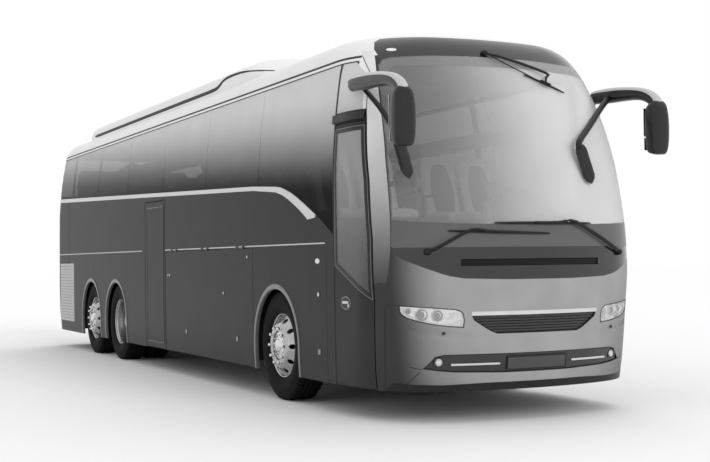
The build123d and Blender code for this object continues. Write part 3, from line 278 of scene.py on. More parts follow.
def finish(name, colour, rough, metal=0.0, coat=0.0, tone=0.08, tone_scale=3.0, grain=0.02, grain_scale=400.0,
           upper=None, span=(0.3, 2.0), axis="Z", lean=0.0, alpha=1.0, specular=0.5, sheen=0.0):
    """A finish with a slow change of tone and a fine grain.
    Where upper is given, the colour turns into it between the two ends of span along the axis, a painted
    change of light and shade; lean lets that begin sooner towards the front."""
    material = bpy.data.materials.new(name)
    material.use_nodes = True
    nodes = material.node_tree.nodes
    shader = nodes["Principled BSDF"]
    fill(shader, Roughness=rough, Metallic=metal, Coat_Weight=coat, Coat_Roughness=0.04,
         Specular_IOR_Level=specular, Sheen_Weight=sheen, Alpha=alpha)
    place = nodes.new("ShaderNodeTexCoord")
    slow = nodes.new("ShaderNodeTexNoise")
    fill(slow, Scale=tone_scale, Detail=3.0)
    wire(place, "Object", slow, "Vector")
    spread = nodes.new("ShaderNodeMapRange")
    fill(spread, From_Min=0.3, From_Max=0.7, To_Min=1 - tone, To_Max=1 + tone)
    wire(slow, "Fac", spread, "Value")
    scaled = nodes.new("ShaderNodeVectorMath")
    scaled.operation = "SCALE"
    wire(spread, "Result", scaled, "Scale")
    if upper is None:
        scaled.inputs[0].default_value = colour[:3]
    else:
        split = nodes.new("ShaderNodeSeparateXYZ")
        wire(place, "Object", split, "Vector")
        tilt = nodes.new("ShaderNodeMath")
        tilt.operation = "MULTIPLY_ADD"
        tilt.inputs[1].default_value = lean
        wire(split, "X", tilt, 0)
        wire(split, axis, tilt, 2)
        rise = nodes.new("ShaderNodeMapRange")
        rise.interpolation_type = "SMOOTHSTEP"
        fill(rise, From_Min=span[0], From_Max=span[1])
        wire(tilt, "Value", rise, "Value")
        blend = nodes.new("ShaderNodeMix")
        blend.data_type = "RGBA"
        fill(blend, A=colour, B=upper)
        wire(rise, "Result", blend, "Factor")
        wire(blend, "Result", scaled, 0)
    wire(scaled, "Vector", shader, "Base Color")
    fine = nodes.new("ShaderNodeTexNoise")
    fill(fine, Scale=grain_scale)
    wire(place, "Object", fine, "Vector")
    bump = nodes.new("ShaderNodeBump")
    fill(bump, Strength=grain, Distance=0.001)
    wire(fine, "Fac", bump, "Height")
    wire(bump, "Normal", shader, "Normal")
    return material


# The side paint is painted lighter towards the skirt, grey(56) below and grey(44) above: painted light.
PAINT = finish("coach_paint", grey(56), 0.38, coat=0.03, upper=grey(44), span=(0.25, 1.9), grain=0.01,
               specular=0.05)
# The nose paint is painted dark at its corners, like the side, and light grey across its front: painted shade
# where the nose turns away and painted light where it faces the front lamp.
NOSE_PAINT_PAINTED_LIGHT = finish("nose_paint", grey(44), 0.34, coat=0.1, specular=0.25, upper=grey(150),
                span=(AXLE + 2.16, AXLE + 2.50), axis="X", grain=0.01)
ROOF_PAINT = finish("roof_paint", grey(234), 0.4, coat=0.1, tone=0.02, grain=0.01)
TRIM = finish("satin_trim", grey(186), 0.35, metal=0.5, tone=0.04)
ARCH_TRIM = finish("arch_trim", grey(122), 0.35, metal=0.4, tone=0.04)
CHROME = finish("polished_metal", grey(215), 0.12, metal=1.0, tone=0.05, tone_scale=9.0)
RIM_METAL = finish("wheel_metal", grey(176), 0.24, metal=0.9, tone=0.12, tone_scale=14.0, grain=0.05)
BLACK = finish("satin_black", grey(22), 0.42, tone=0.15, grain=0.04, specular=0.3)
GLOSS_BLACK = finish("gloss_black", grey(30), 0.16, coat=0.3, tone=0.1)
SEAM = finish("seal_rubber", grey(16), 0.6, tone=0.2, grain=0.1)
TYRE = finish("tyre_rubber", grey(20), 0.8, tone=0.2, tone_scale=8.0, grain=0.25, grain_scale=250.0,
              specular=0.15)
STEEL = finish("frame_steel", grey(38), 0.6, metal=0.3, tone=0.2, grain=0.15, grain_scale=120.0)
IRON = finish("cast_block", grey(70), 0.65, metal=0.5, tone=0.2, grain=0.3, grain_scale=90.0)
LINING = finish("cabin_lining", grey(235), 0.8, tone=0.04, grain=0.15)
BOARD = finish("floor_covering", grey(60), 0.7, tone=0.15, grain=0.2, grain_scale=150.0)
DASH = finish("dashboard_plastic", grey(170), 0.6, tone=0.05, grain=0.2, grain_scale=300.0)
DASH_DARK = finish("plate_grey", grey(62), 0.5, tone=0.05, grain=0.1, grain_scale=300.0)
CLOTH = finish("seat_cloth", grey(240), 0.85, tone=0.05, grain=0.5, grain_scale=260.0, sheen=0.3)
DARK_CLOTH = finish("seat_centre_cloth", grey(98), 0.9, tone=0.12, tone_scale=30.0, grain=0.6,
                    grain_scale=320.0, sheen=0.3)
MIRROR_SHELL = finish("mirror_shell", grey(26), 0.25, coat=0.15, tone=0.05, specular=0.3)
LAMP_BOWL = finish("lamp_bowl", grey(225), 0.16, metal=0.85, tone=0.15, tone_scale=30.0)
RED_LENS = finish("red_lens", (0.35, 0.01, 0.01, 1), 0.2, coat=0.4, tone=0.1, grain=0.1, grain_scale=200.0)
# The windscreen is painted lighter towards the coach's left, grey(146) to white: a painted reflection of the
# bright studio.
CLEAR = finish("windscreen_glass", grey(146), 0.03, alpha=0.39, tone=0.02, grain=0.0, upper=grey(255),
               span=(-0.9, 0.5), axis="Y")
# The side glass is painted nearly black below and light grey near the roof, sooner towards the front: a
# painted reflection of the sky.
SIDE_GLASS_PAINTED_SKY = finish("side_glass", grey(5), 0.05, alpha=0.74, tone=0.03, grain=0.0, upper=grey(232),
                    span=(2.12, 3.05), lean=0.05, specular=0.02)
# The door glass is painted lighter towards its top: a painted reflection of the sky.
DOOR_GLASS_PAINTED_SKY = finish("door_glass", grey(90), 0.05, alpha=0.55, tone=0.04, grain=0.0, upper=grey(170),
                    span=(1.1, 2.4))
LENS = finish("lamp_lens", grey(245), 0.03, alpha=0.16, tone=0.02, grain=0.0)
print(len(bpy.data.materials), "finishes")

# %% [markdown]
# ## How a piece is stored
# A finished piece sits at the origin with its place in its mesh. The helper below makes the mesh, gives it
# its finish, shades it smooth with sharp edges where faces meet at a steep angle, and puts it on its body.

# %% Piece helper
SHARP, ALL_SMOOTH = math.radians(38), math.pi   # the angle from which an edge stays sharp
WELD = 1e-5                           # points nearer than this are one


def bare_piece(name, points, faces, materials, marks=None, tidy=True, sharp=SHARP):
    """A mesh object from points and faces, not yet on a body. marks give each face's material."""
    mesh = bpy.data.meshes.new(name)
    mesh.from_pydata([tuple(map(float, p)) for p in points], [], [tuple(map(int, f)) for f in faces])
    for material in materials:
        mesh.materials.append(material)
    if marks is not None:
        mesh.polygons.foreach_set("material_index", np.asarray(marks, np.int32))
    if tidy:
        shell = bmesh.new()
        shell.from_mesh(mesh)
        bmesh.ops.remove_doubles(shell, verts=shell.verts, dist=WELD)
        bmesh.ops.recalc_face_normals(shell, faces=shell.faces)
        shell.to_mesh(mesh)
        shell.free()
    mesh.shade_smooth()
    mesh.set_sharp_from_angle(angle=sharp)
    piece = bpy.data.objects.new(name, mesh)
    bpy.context.scene.collection.objects.link(piece)
    return piece


def add(name, points, faces, material, slot, replaces=(), marks=None, tidy=True, sharp=SHARP,
        body="coach_body"):
    """A finished piece; X is counted from the front axle."""
    materials = material if isinstance(material, (list, tuple)) else [material]
    shifted = np.asarray(points, float) + (AXLE, 0, 0)
    piece = bare_piece(name, shifted, faces, materials, marks, tidy, sharp)
    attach(piece, body)
    if replaces:
        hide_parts(*replaces)
    return piece


# %% [markdown]
# ## Panels cut from the skin
# A flat drawing is filled with triangles by a constrained Delaunay triangulation, which keeps every line of
# the drawing as an edge. Drawings may cross: a triangle stays if it lies inside the panel and outside every
# cut-out. Then the rule of the surface wraps the sheet round the coach, and a second layer gives it its
# thickness.

# %% Panel helper
BENDS = 1.75                          # the front corners lie within this distance of the nose
FINE_PITCH, FLAT_STRETCH = 0.035, 1.4  # the finest pitch round them, and how much wider it is on the flat


def holds(loop, points):
    """For each point, whether it lies inside a closed loop."""
    x, y = points[:, 0], points[:, 1]
    inside = np.zeros(len(points), bool)
    for (ax, ay), (bx, by) in zip(loop, np.roll(loop, -1, axis=0)):
        if ay == by:
            continue
        crossing = ((ay > y) != (by > y)) & (x < (bx - ax) * (y - ay) / (by - ay) + ax)
        inside ^= crossing
    return inside


def grid_for(loop, pitch):
    """Points that fill a drawing, closer together round the front corners."""
    low, high = loop.min(axis=0), loop.max(axis=0)
    across = [low[0]]
    while across[-1] < high[0]:
        step = min(FINE_PITCH, pitch) if abs(across[-1]) < BENDS else FLAT_STRETCH * pitch
        across.append(across[-1] + step)
    rows = np.arange(low[1] + pitch / 2, high[1], pitch)
    return np.array([(a, z) for a in across for z in rows]).reshape(-1, 2)


# %% Sheets from drawings
def in_panel(points, regions, cuts):
    """For each point, whether it lies inside a region and outside every cut."""
    keep = np.zeros(len(points), bool)
    for region in regions:
        keep |= holds(region, points)
    for cut in cuts:
        keep &= ~holds(cut, points)
    return keep


def triangles(regions, cuts, pitch):
    """Triangles that fill the regions outside the cuts: (points, faces)."""
    loops = list(regions) + list(cuts)
    seeds = np.concatenate([grid_for(region, pitch) for region in regions])
    seeds = seeds[in_panel(seeds, regions, cuts)]
    rim = np.concatenate(loops)
    if len(seeds):
        near = np.array([np.min((rim[:, 0] - s[0]) ** 2 + (rim[:, 1] - s[1]) ** 2) for s in seeds])
        seeds = seeds[near > (0.3 * min(pitch, FINE_PITCH)) ** 2]
    edges, start = [], 0
    for loop in loops:
        count = len(loop)
        edges += [(start + k, start + (k + 1) % count) for k in range(count)]
        start += count
    points = [Vector(p) for p in np.concatenate([rim, seeds])]
    found, _, faces, _, _, _ = delaunay_2d_cdt(points, edges, [], 0, WELD)
    found = np.array([tuple(p) for p in found])
    faces = np.array([tuple(f) for f in faces])
    faces = faces[in_panel(found[faces].mean(axis=1), regions, cuts)]
    used, faces = np.unique(faces, return_inverse=True)
    return found[used], faces.reshape(-1, 3)


def thick(outer, inner, faces):
    """Two layers joined round their rims: (points, faces, marks), where the inner layer has mark 1."""
    count = len(outer)
    edges = {}
    for face in faces:
        for a, b in zip(face, np.roll(face, -1)):
            edges[(int(a), int(b))] = edges.get((int(a), int(b)), 0) + 1
    rim = [(a, b) for (a, b) in edges if (b, a) not in edges]
    all_faces = [tuple(f) for f in faces] + [tuple(count + i for i in reversed(f)) for f in map(tuple, faces)]
    all_faces += [(b, a, count + a, count + b) for a, b in rim]
    marks = [0] * len(faces) + [1] * len(faces) + [0] * len(rim)
    return np.concatenate([outer, inner]), all_faces, marks


# %% Panels
def wrapped(name, flat, faces, material, slot, replaces=(), depth=0.03, proud=0.0, inside=None, relief=None,
            body="coach_body"):
    """A filled drawing wrapped round the coach and given a thickness. relief presses a shape in."""
    lift = proud - (relief(flat[:, 0], flat[:, 1]) if relief else np.zeros(len(flat)))
    outer = body_at(flat[:, 0], flat[:, 1], lift)
    inner = body_at(flat[:, 0], flat[:, 1], lift - depth)
    points, all_faces, marks = thick(outer, inner, faces)
    return add(name, points, all_faces, [material, inside or material], slot, replaces, marks, tidy=False,
               body=body)


def panel(name, regions, cuts, material, slot, replaces=(), pitch=0.07, **more):
    """A panel of the skin between its regions and its cut-outs."""
    return wrapped(name, *triangles(regions, cuts, pitch), material, slot, replaces, **more)


# %% [markdown]
# ## The painted body
# The sides, nose, tail, doors and flaps are separate panels with real gaps between them, so a door that opens
# leaves its hole. Their drawings are simple: the side's from beside, the nose's from ahead. The dark band of
# windows has a sill that rises slowly towards the tail and falls in two arcs towards the front door.

# %% Drawings of the side
REAR_SEAM, BELT = -9.45, 1.449
NOSE_SEAM = [(1.985, 0.200), (2.030, 0.990), (2.018, 1.470), (1.950, 1.960), (1.830, 2.470), (1.800, 2.560),
             (1.715, 2.870), (1.560, 3.030)]
GLAZING_FRONT, GLAZING_TOP, JOINT = 1.330, 3.005, 0.008
SILL_SLOPE, SILL_BEND, SILL_KNEE, SILL_END = 0.0349, (-0.25, 2.04), (0.583, 1.876), (1.33, 1.532)
PILLARS = [-0.43 - 1.624 * k for k in range(6)]
DOOR_REAR, DOOR_TOP, LOW_EDGE = 1.345, 2.465, 0.27
MID_FRONT, MID_REAR, MID_TOP = -3.57, -4.44, 2.075
FLAP_FRONT, FLAP_REAR, HOLD_REAR = -0.6, -3.548, -5.25
ARCHES, ARCH, RING = (0.0, -5.9, -7.3), 0.535, 0.048
DOOR_GAP, LID_GAP = 0.010, 0.007


def seam_x(z):
    """X of the seam between the side and the nose."""
    heights = [point[1] for point in NOSE_SEAM]
    return float(np.interp(z, heights, [point[0] for point in NOSE_SEAM]))


def tangent_arc(start, direction, end, count=14):
    """Points of the arc that leaves start along direction and reaches end, and its last direction."""
    start, end = np.array(start, float), np.array(end, float)
    along = np.array(direction, float) / np.linalg.norm(direction)
    chord = end - start
    normal = np.array([-along[1], along[0]])
    if normal @ chord < 0:
        normal = -normal
    length = np.linalg.norm(chord)
    half = math.acos(np.clip(along @ chord / length, -1, 1))
    radius = length / (2 * math.sin(half))
    turns = np.linspace(0, 2 * half, count)
    points = [start + radius * (math.sin(t) * along + (1 - math.cos(t)) * normal) for t in turns]
    last = math.cos(2 * half) * along + math.sin(2 * half) * normal
    return points, last


def sill_line():
    """The window sill from the tail to the front door."""
    tail = (REAR_SEAM, SILL_BEND[1] + SILL_SLOPE * (SILL_BEND[0] - REAR_SEAM))
    bend, out = tangent_arc(SILL_BEND, (1, -SILL_SLOPE), SILL_KNEE)
    fall, _ = tangent_arc(SILL_KNEE, out, SILL_END)
    return np.array([tail] + bend + fall[1:])


SILL = sill_line()


def sill_at(x):
    """Height of the window sill at a place along the side."""
    return float(np.interp(x, SILL[:, 0], SILL[:, 1]))


print("window sill with", len(SILL), "points")

# %% Drawings of windows, doors and flaps
QUARTER_REAR, QUARTER_BESIDE = 1.365, 0.038   # rear edge of the pane ahead, and its gap to the nose's seam


def pane_drawing(front, rear, inset=0.0):
    """One side window, or the clear part of it inside its black border."""
    front, rear = front - inset, rear + inset
    between = [(x, z + inset) for x, z in SILL if rear < x < front]
    return [(rear, GLAZING_TOP - inset), (rear, sill_at(rear) + inset)] + between + [
        (front, sill_at(front) + inset), (front, GLAZING_TOP - inset)]


def quarter_drawing(foot, inset=0.0):
    """The pane ahead of the band, over the front door or beside the driver."""
    back = QUARTER_BESIDE + inset
    lean = [(x - back, z) for x, z in NOSE_SEAM if foot + inset < z < GLAZING_TOP - 0.05]
    return [(QUARTER_REAR + inset, foot + inset), (seam_x(foot) - back, foot + inset)] + lean + [
        (seam_x(GLAZING_TOP) - 0.075 - inset, GLAZING_TOP - 0.005 - inset),
        (QUARTER_REAR + inset, GLAZING_TOP - inset)]


def pane_ends():
    """Front and rear X of every side window."""
    ends = [GLAZING_FRONT + JOINT / 2] + PILLARS + [REAR_SEAM - JOINT / 2]
    return [(front - JOINT / 2, rear + JOINT / 2) for front, rear in zip(ends, ends[1:])]


def arch_drawing(x, radius):
    """A wheel opening, round over the wheel and straight below the hub."""
    turns = np.linspace(0, math.pi, 40)
    top = [(x + radius * math.cos(t), HUB + radius * math.sin(t)) for t in turns]
    return top + [(x - radius, SKIRT), (x + radius, SKIRT)]


def door_drawing(gap):
    """The front door, gap inside its opening."""
    low = LOW_EDGE if gap else SKIRT
    edge = [(x - gap, z) for x, z in NOSE_SEAM if low < z < DOOR_TOP - gap]
    return [(DOOR_REAR + gap, low), (seam_x(low) - gap, low)] + edge + [
        (seam_x(DOOR_TOP) - gap, DOOR_TOP - gap), (DOOR_REAR + gap, DOOR_TOP - gap)]


def box_drawing(rear, front, low, top):
    """A plain rectangle."""
    return [(rear, low), (front, low), (front, top), (rear, top)]


def mid_door_drawing(gap):
    """The middle door, gap inside its opening."""
    return box_drawing(MID_REAR + gap, MID_FRONT - gap, LOW_EDGE if gap else SKIRT, MID_TOP - gap)


def flap_drawing(front, rear, gap):
    """A luggage flap, gap inside its opening."""
    return box_drawing(rear + gap, front - gap, LOW_EDGE if gap else SKIRT, BELT - gap / 2)


FLAP_POST = 0.021                     # the post between the two flaps of the left side
FLAPS = {"luggage_flap_right": (RIGHT, FLAP_FRONT, FLAP_REAR),
         "luggage_flap_left_front": (LEFT, FLAP_FRONT, FLAP_REAR),
         "luggage_flap_left_rear": (LEFT, FLAP_REAR - FLAP_POST, HOLD_REAR + LID_GAP)}
GRILLE_SIDE = [(-9.38, 1.33), (-8.6, 1.33), (-8.48, 1.18), (-8.4, 0.41), (-9.25, 0.49)]
BAND = list(SILL) + [(GLAZING_FRONT, GLAZING_TOP), (REAR_SEAM, GLAZING_TOP)]
SEAM_RISE = [(seam_x(SKIRT), SKIRT)] + [p for p in NOSE_SEAM if p[1] > SKIRT]
SIDE_ZONE = [(REAR_SEAM, SKIRT)] + SEAM_RISE + [(REAR_SEAM, GUTTER)]
SIDES = (("right", RIGHT, 2.56), ("left", LEFT, 1.40))   # word, side of the coach, foot of the pane ahead
ARCH_CUT = ARCH + RING - 0.006        # the skin ends under the ring
print(f"side drawing: {len(pane_ends())} windows, {len(ARCHES)} wheel openings")

# %% Sides, doors and flaps
for word, side, foot in SIDES:
    cuts = [BAND, quarter_drawing(foot), GRILLE_SIDE] + [arch_drawing(x, ARCH_CUT) for x in ARCHES]
    cuts += [flap_drawing(front, rear, 0) for place, front, rear in FLAPS.values() if place == side]
    if side == RIGHT:
        cuts += [door_drawing(0), mid_door_drawing(0)]
    panel(f"side_skin_{word}", [from_side(SIDE_ZONE, side)], [from_side(cut, side) for cut in cuts], PAINT,
          "body_paint", [f"side_wall_{word}"], inside=LINING)

for name, (side, front, rear) in FLAPS.items():
    panel(f"{name}_skin", [from_side(flap_drawing(front, rear, LID_GAP), side)], [], PAINT, "body_paint",
          [name], inside=BLACK, body=name)

DOOR_DEEP, PANE_IN = 0.035, 0.055     # thickness of a leaf, and how far its pane lies inside the opening
PANE_REAR_FOOT, PANE_FOOT, PANE_TOP = 1.29, 1.04, 2.39
DOOR_PANE = [(DOOR_REAR + PANE_IN, PANE_REAR_FOOT), (seam_x(PANE_FOOT) - PANE_IN, PANE_FOOT)]
DOOR_PANE += [(x - PANE_IN, z) for x, z in NOSE_SEAM if PANE_FOOT < z < PANE_TOP]
DOOR_PANE += [(seam_x(PANE_TOP) - PANE_IN, PANE_TOP), (DOOR_REAR + PANE_IN, PANE_TOP)]
panel("front_door_skin", [from_side(door_drawing(DOOR_GAP), RIGHT)], [from_side(DOOR_PANE, RIGHT)], PAINT,
      "body_paint", ["front_door_leaf"], depth=DOOR_DEEP, inside=BLACK, body="front_door")
panel("front_door_pane", [from_side(DOOR_PANE, RIGHT)], [], DOOR_GLASS_PAINTED_SKY, "clear_glass", ["front_door_glass"],
      depth=0.008, body="front_door")
panel("mid_door_skin", [from_side(mid_door_drawing(DOOR_GAP), RIGHT)], [], PAINT, "body_paint",
      ["mid_door_leaf"], depth=DOOR_DEEP, inside=BLACK, body="mid_door")

print("two sides, two doors and", len(FLAPS), "flaps")

# %% Side windows
BORDER, QUARTER_BORDER = 0.045, 0.035
for word, side, foot in SIDES:
    panes = [from_side(pane_drawing(front, rear), side) for front, rear in pane_ends()]
    clear = [from_side(pane_drawing(front, rear, BORDER), side) for front, rear in pane_ends()]
    panes.append(from_side(quarter_drawing(foot), side))
    clear.append(from_side(quarter_drawing(foot, QUARTER_BORDER), side))
    panel(f"side_windows_{word}", panes, [], SIDE_GLASS_PAINTED_SKY, "tinted_glass", [f"side_glass_{word}"],
          depth=0.006, pitch=0.09)
    panel(f"window_borders_{word}", [from_side(BAND, side), panes[-1]], clear, SEAM, "black_plastic",
          depth=0.012, proud=-0.0075, pitch=0.12)
print("side windows with borders of", BORDER, "m")

# %% [markdown]
# ## Nose and tail
# The nose carries the tall curved windscreen, a black cowl under it with an air slot, a thin dark grille with
# a bright upper bar, wide lamps and a black lower insert. Each is its own panel of the same surface, set a
# little deeper or prouder than its neighbour, so edges catch light.

# %% Nose drawings
def both(points):
    """A drawing's left half completed with its mirror image."""
    return list(points) + [(-y, z) for y, z in reversed(points) if y > 0.0005]


def other(points):
    """A drawing's mirror image."""
    return [(-y, z) for y, z in reversed(points)]


SCREEN = both([(1.157, 1.412), (1.150, 1.606), (1.135, 2.108), (1.101, 2.535), (1.070, 2.750), (1.045, 2.875),
               (1.022, 2.945), (0.990, 2.985), (0.930, 3.003), (0.6, 3.012), (0.3, 3.016)])
COWL = both([(0.3, 1.145), (0.671, 1.157), (0.78, 1.175), (0.847, 1.195), (0.96, 1.24), (1.085, 1.301),
             (1.125, 1.335), (1.146, 1.366), (1.157, 1.412)])
HEADER = both([(1.002, 2.96), (1.002, 3.09), (0.96, 3.165), (0.89, 3.205)])
LAMP = [(1.116, 0.949), (0.920, 0.932), (0.736, 0.917), (0.690, 0.902), (0.667, 0.880), (0.656, 0.83),
        (0.659, 0.766), (0.78, 0.776), (0.902, 0.794), (1.0, 0.818), (1.076, 0.850), (1.105, 0.88),
        (1.113, 0.905)]
GRILLE = both([(0.606, 0.892), (0.600, 0.860), (0.580, 0.823), (0.50, 0.770), (0.440, 0.735), (0.385, 0.713)])
INSERT = both([(0.805, 0.555), (0.87, 0.54), (0.90, 0.50), (0.953, 0.443), (0.84, 0.425), (0.712, 0.412),
               (0.3, 0.399)])
SLOT = [(-0.70, 1.255), (0.60, 1.255), (0.60, 1.310), (-0.70, 1.310)]
FOG, FOG_RADIUS = (0.84, 0.494), 0.042


def oval(across, z, wide, high, count=20):
    """An oval by its half width and half height."""
    turns = np.linspace(0, 2 * math.pi, count, endpoint=False)
    return [(across + wide * math.cos(t), z + high * math.sin(t)) for t in turns]


def spot_ahead(across, z):
    """The unrolled place of one point seen from ahead."""
    return from_ahead([(across, z), (across + 0.001, z), (across, z + 0.001)])[0]


FOG_HOLES = [oval(side * FOG[0], FOG[1], FOG_RADIUS, FOG_RADIUS, 28) for side in (LEFT, RIGHT)]
NOSE_CUTS = [SCREEN, COWL, HEADER, LAMP, other(LAMP), GRILLE, INSERT] + FOG_HOLES
left_edge = from_side(SEAM_RISE, LEFT)
left_edge = left_edge[:int(np.argmax(left_edge[:, 1])) + 1]
nose_zone = np.concatenate([left_edge, (left_edge * (-1, 1))[::-1]])
FOLD = np.array([spot_ahead(across, z) for across, z in [
    (0.403, 0.631), (0.60, 0.660), (0.788, 0.689), (0.92, 0.710), (1.031, 0.731), (1.080, 0.770)]])
FOLD_REACH = [0.0, 0.55, 1.0, 1.0, 0.8, 0.0]   # the fold's share of its full depth at those points
FOLD_DEPTH, FOLD_HEIGHT, FOLD_STEEP = 0.014, 0.085, 0.12


def nose_fold(u, z):
    """How deep the skin is pressed in: a fold under each headlamp, sharp below and fading out upwards."""
    across = np.abs(u)
    above = (z - np.interp(across, FOLD[:, 0], FOLD[:, 1])) / FOLD_HEIGHT
    reach = np.interp(across, FOLD[:, 0], FOLD_REACH, left=0, right=0)
    return FOLD_DEPTH * reach * np.clip(above / FOLD_STEEP, 0, 1) * np.clip(1 - above, 0, 1)


NOSE_SKINS = (
    # name, drawing, cut-outs, finish, slot, solid, depth, proud, pitch
    ("windscreen_sheet", SCREEN, [], CLEAR, "clear_glass", "windscreen", 0.006, 0.0, 0.06),
    ("cowl_skin", COWL, [SLOT], GLOSS_BLACK, "black_plastic", "cowl_panel", 0.03, 0.0, 0.04),
    ("cowl_slot_floor", SLOT, [], SEAM, "black_plastic", None, 0.01, -0.026, 0.07),
    ("header_skin", HEADER, [SCREEN], GLOSS_BLACK, "black_plastic", "header_panel", 0.03, 0.0, 0.035),
    ("grille_back", GRILLE, [], BLACK, "black_plastic", "front_grille", 0.02, -0.022, 0.04),
    ("insert_back", INSERT, FOG_HOLES, GLOSS_BLACK, "black_plastic", "lower_insert", 0.03, -0.012, 0.04))
# The nose skin wears the nose paint with its painted light and shade.
panel("nose_skin", [dense(nose_zone, 0.035)], [from_ahead(hole) for hole in NOSE_CUTS], NOSE_PAINT_PAINTED_LIGHT, "body_paint",
      ["nose_panel"], pitch=0.017, inside=BLACK, relief=nose_fold)
for name, drawing, holes, material, slot, solid, depth, proud, pitch in NOSE_SKINS:
    panel(name, [from_ahead(drawing)], [from_ahead(hole) for hole in holes], material, slot,
          [solid] if solid else (), depth=depth, proud=proud, pitch=pitch)
print("nose skin with", len(NOSE_CUTS), "openings")

# %% Tail drawings
REAR_GLASS = [(0.0, 1.78), (0.96, 1.78), (0.95, 2.3), (0.93, 2.78), (0.88, 2.85), (0.0, 2.85)]
HATCH = [(0.0, 0.47), (0.83, 0.47), (0.83, 1.42), (0.0, 1.42)]
LID = [(0.0, 0.477), (0.823, 0.477), (0.823, 1.4165), (0.0, 1.4165)]
TAIL_LAMP = [(1.035, 0.82), (1.165, 0.82), (1.165, 1.42), (1.035, 1.42)]
TAIL_PITCH = 0.06


def tail_end(z):
    """Distance round the outline from the nose to the middle of the tail."""
    return outline(np.asarray(z, float)).ends[4]


def tail_zone(side):
    """The part of the skin behind the rear seam, on one side, in unrolled coordinates."""
    count = 60
    heights = np.linspace(SKIRT, GUTTER, count)
    seam = from_side([(REAR_SEAM, z) for z in heights], side)[:count]
    seam = seam[np.argsort(seam[:, 1])]
    middle = np.stack([side * tail_end(heights), heights], axis=1)
    return np.concatenate([seam, middle[::-1]])


def wrap_tail(drawing, side):
    """One half of a drawing of the tail, kept off the centre line by a hair so that it knows its side."""
    return from_behind([(side * max(y, 1e-6), z) for y, z in drawing])


def join_halves(flat):
    """Joins the points that meet on the tail's centre line: (points, new number of each old point)."""
    ends = tail_end(flat[:, 1])
    on_line = ends - np.abs(flat[:, 0]) < 2e-3
    key = np.where(on_line[:, None], np.stack([0 * ends, flat[:, 1]], 1) + (99, 0), flat)
    _, first, index = np.unique(np.round(key, 4), axis=0, return_index=True, return_inverse=True)
    return flat[first], index.reshape(-1)


def tail_panels(name, drawing, cuts, *rest, **more):
    """A panel of the tail, drawn as two halves that meet on the centre line."""
    halves = [triangles([wrap_tail(drawing, side) if drawing else tail_zone(side)],
                        [wrap_tail(cut, side) for cut in cuts], TAIL_PITCH) for side in (LEFT, RIGHT)]
    flat, index = join_halves(np.concatenate([points for points, _ in halves]))
    faces = np.concatenate([halves[0][1], halves[1][1] + len(halves[0][0])])
    return wrapped(name, flat, index[faces], *rest, **more)


tail_panels("tail_skin", None, [REAR_GLASS, HATCH, TAIL_LAMP], PAINT, "body_paint", ["rear_wall"],
            inside=LINING)
tail_panels("rear_window", REAR_GLASS, [], SIDE_GLASS_PAINTED_SKY, "tinted_glass", ["rear_glass"], depth=0.006)
tail_panels("engine_lid_skin", LID, [], PAINT, "body_paint", ["engine_lid"], inside=BLACK, body="engine_lid")
tail_panels("tail_lamp_lenses", TAIL_LAMP, [], RED_LENS, "red_lens", ["tail_lamps"])
print("tail: skin, window, engine lid and lamps")

# %% [markdown]
# ## The roof
# The roof keeps the same rule up to its flat top. Its grid is made of outlines, one above the other. Ahead,
# it starts above the black header, so the lower rows leave out what lies between the header's ends.

# %% Roof
ROOF_ROWS = np.array([3.03, 3.055, 3.08, 3.105, 3.13, 3.155, 3.18, 3.205, 3.222, 3.238, 3.252, 3.264, 3.273,
                      3.28, ROOF])
HEADER_ROW = 7                        # the row at the header's upper edge
HEADER_EDGE = ([3.09, 3.165, 3.205], [1.002, 0.96, 0.89])
AHEAD, BEHIND = 30, 190               # points of a half row ahead of the header's end, and behind it
CROWN_ROWS = (0.66, 0.33, 0.02)       # rows that draw the flat top together, as shares of its width
ROOF_DEEP = 0.03


def roof_row(z):
    """Places round the outline at one height, with the header's ends among them."""
    border = abs(from_ahead([(float(np.interp(z, *HEADER_EDGE)), z)])[0, 0])
    end = float(tail_end(np.array([z]))[0])
    half = np.concatenate([np.linspace(0, border, AHEAD, endpoint=False),
                           border + (end - border) * np.linspace(0, 1, BEHIND)])
    return np.concatenate([-half[:0:-1], half])


def roof_shell():
    """The roof's outer layer: (points, faces)."""
    rows = [roof_row(z) for z in ROOF_ROWS]
    count = len(rows[0])
    middle = count // 2
    flat = np.array([(u, z) for row, z in zip(rows, ROOF_ROWS) for u in row])
    outer = body_at(flat[:, 0], flat[:, 1])
    tops = outer[-count:]
    crown = np.array([tops[:, 0].mean(), 0, ROOF])
    points = np.concatenate([outer] + [crown + (tops - crown) * (1, share, 1) for share in CROWN_ROWS])
    last_row = len(ROOF_ROWS) + len(CROWN_ROWS) - 1
    faces = []
    for row in range(last_row):
        for k in range(count - 1):
            if row < HEADER_ROW and middle - AHEAD <= k < middle + AHEAD:
                continue
            a = row * count + k
            faces.append((a, a + 1, a + 1 + count, a + count))
    last = last_row * count
    faces += [(last + k, last + k + 1, last + count - 2 - k, last + count - 1 - k)
              for k in range(count // 2 - 1)]
    return points, faces


def roof_piece():
    """The roof with its thickness, drawn inwards along the shell's own normals."""
    shell = bare_piece("roof_draft", *roof_shell(), [ROOF_PAINT])
    points = np.array([v.co for v in shell.data.vertices])
    normals = np.array([v.normal for v in shell.data.vertices])
    if normals[np.argmax(points[:, 2])][2] < 0:
        normals = -normals
    faces = [tuple(p.vertices) for p in shell.data.polygons]
    bpy.data.objects.remove(shell)
    points, faces, marks = thick(points, points - ROOF_DEEP * normals, faces)
    return add("roof_skin", points, faces, [ROOF_PAINT, LINING], "body_paint", ["roof_panel"], marks)


roof = roof_piece()
print("roof faces", len(roof.data.polygons))

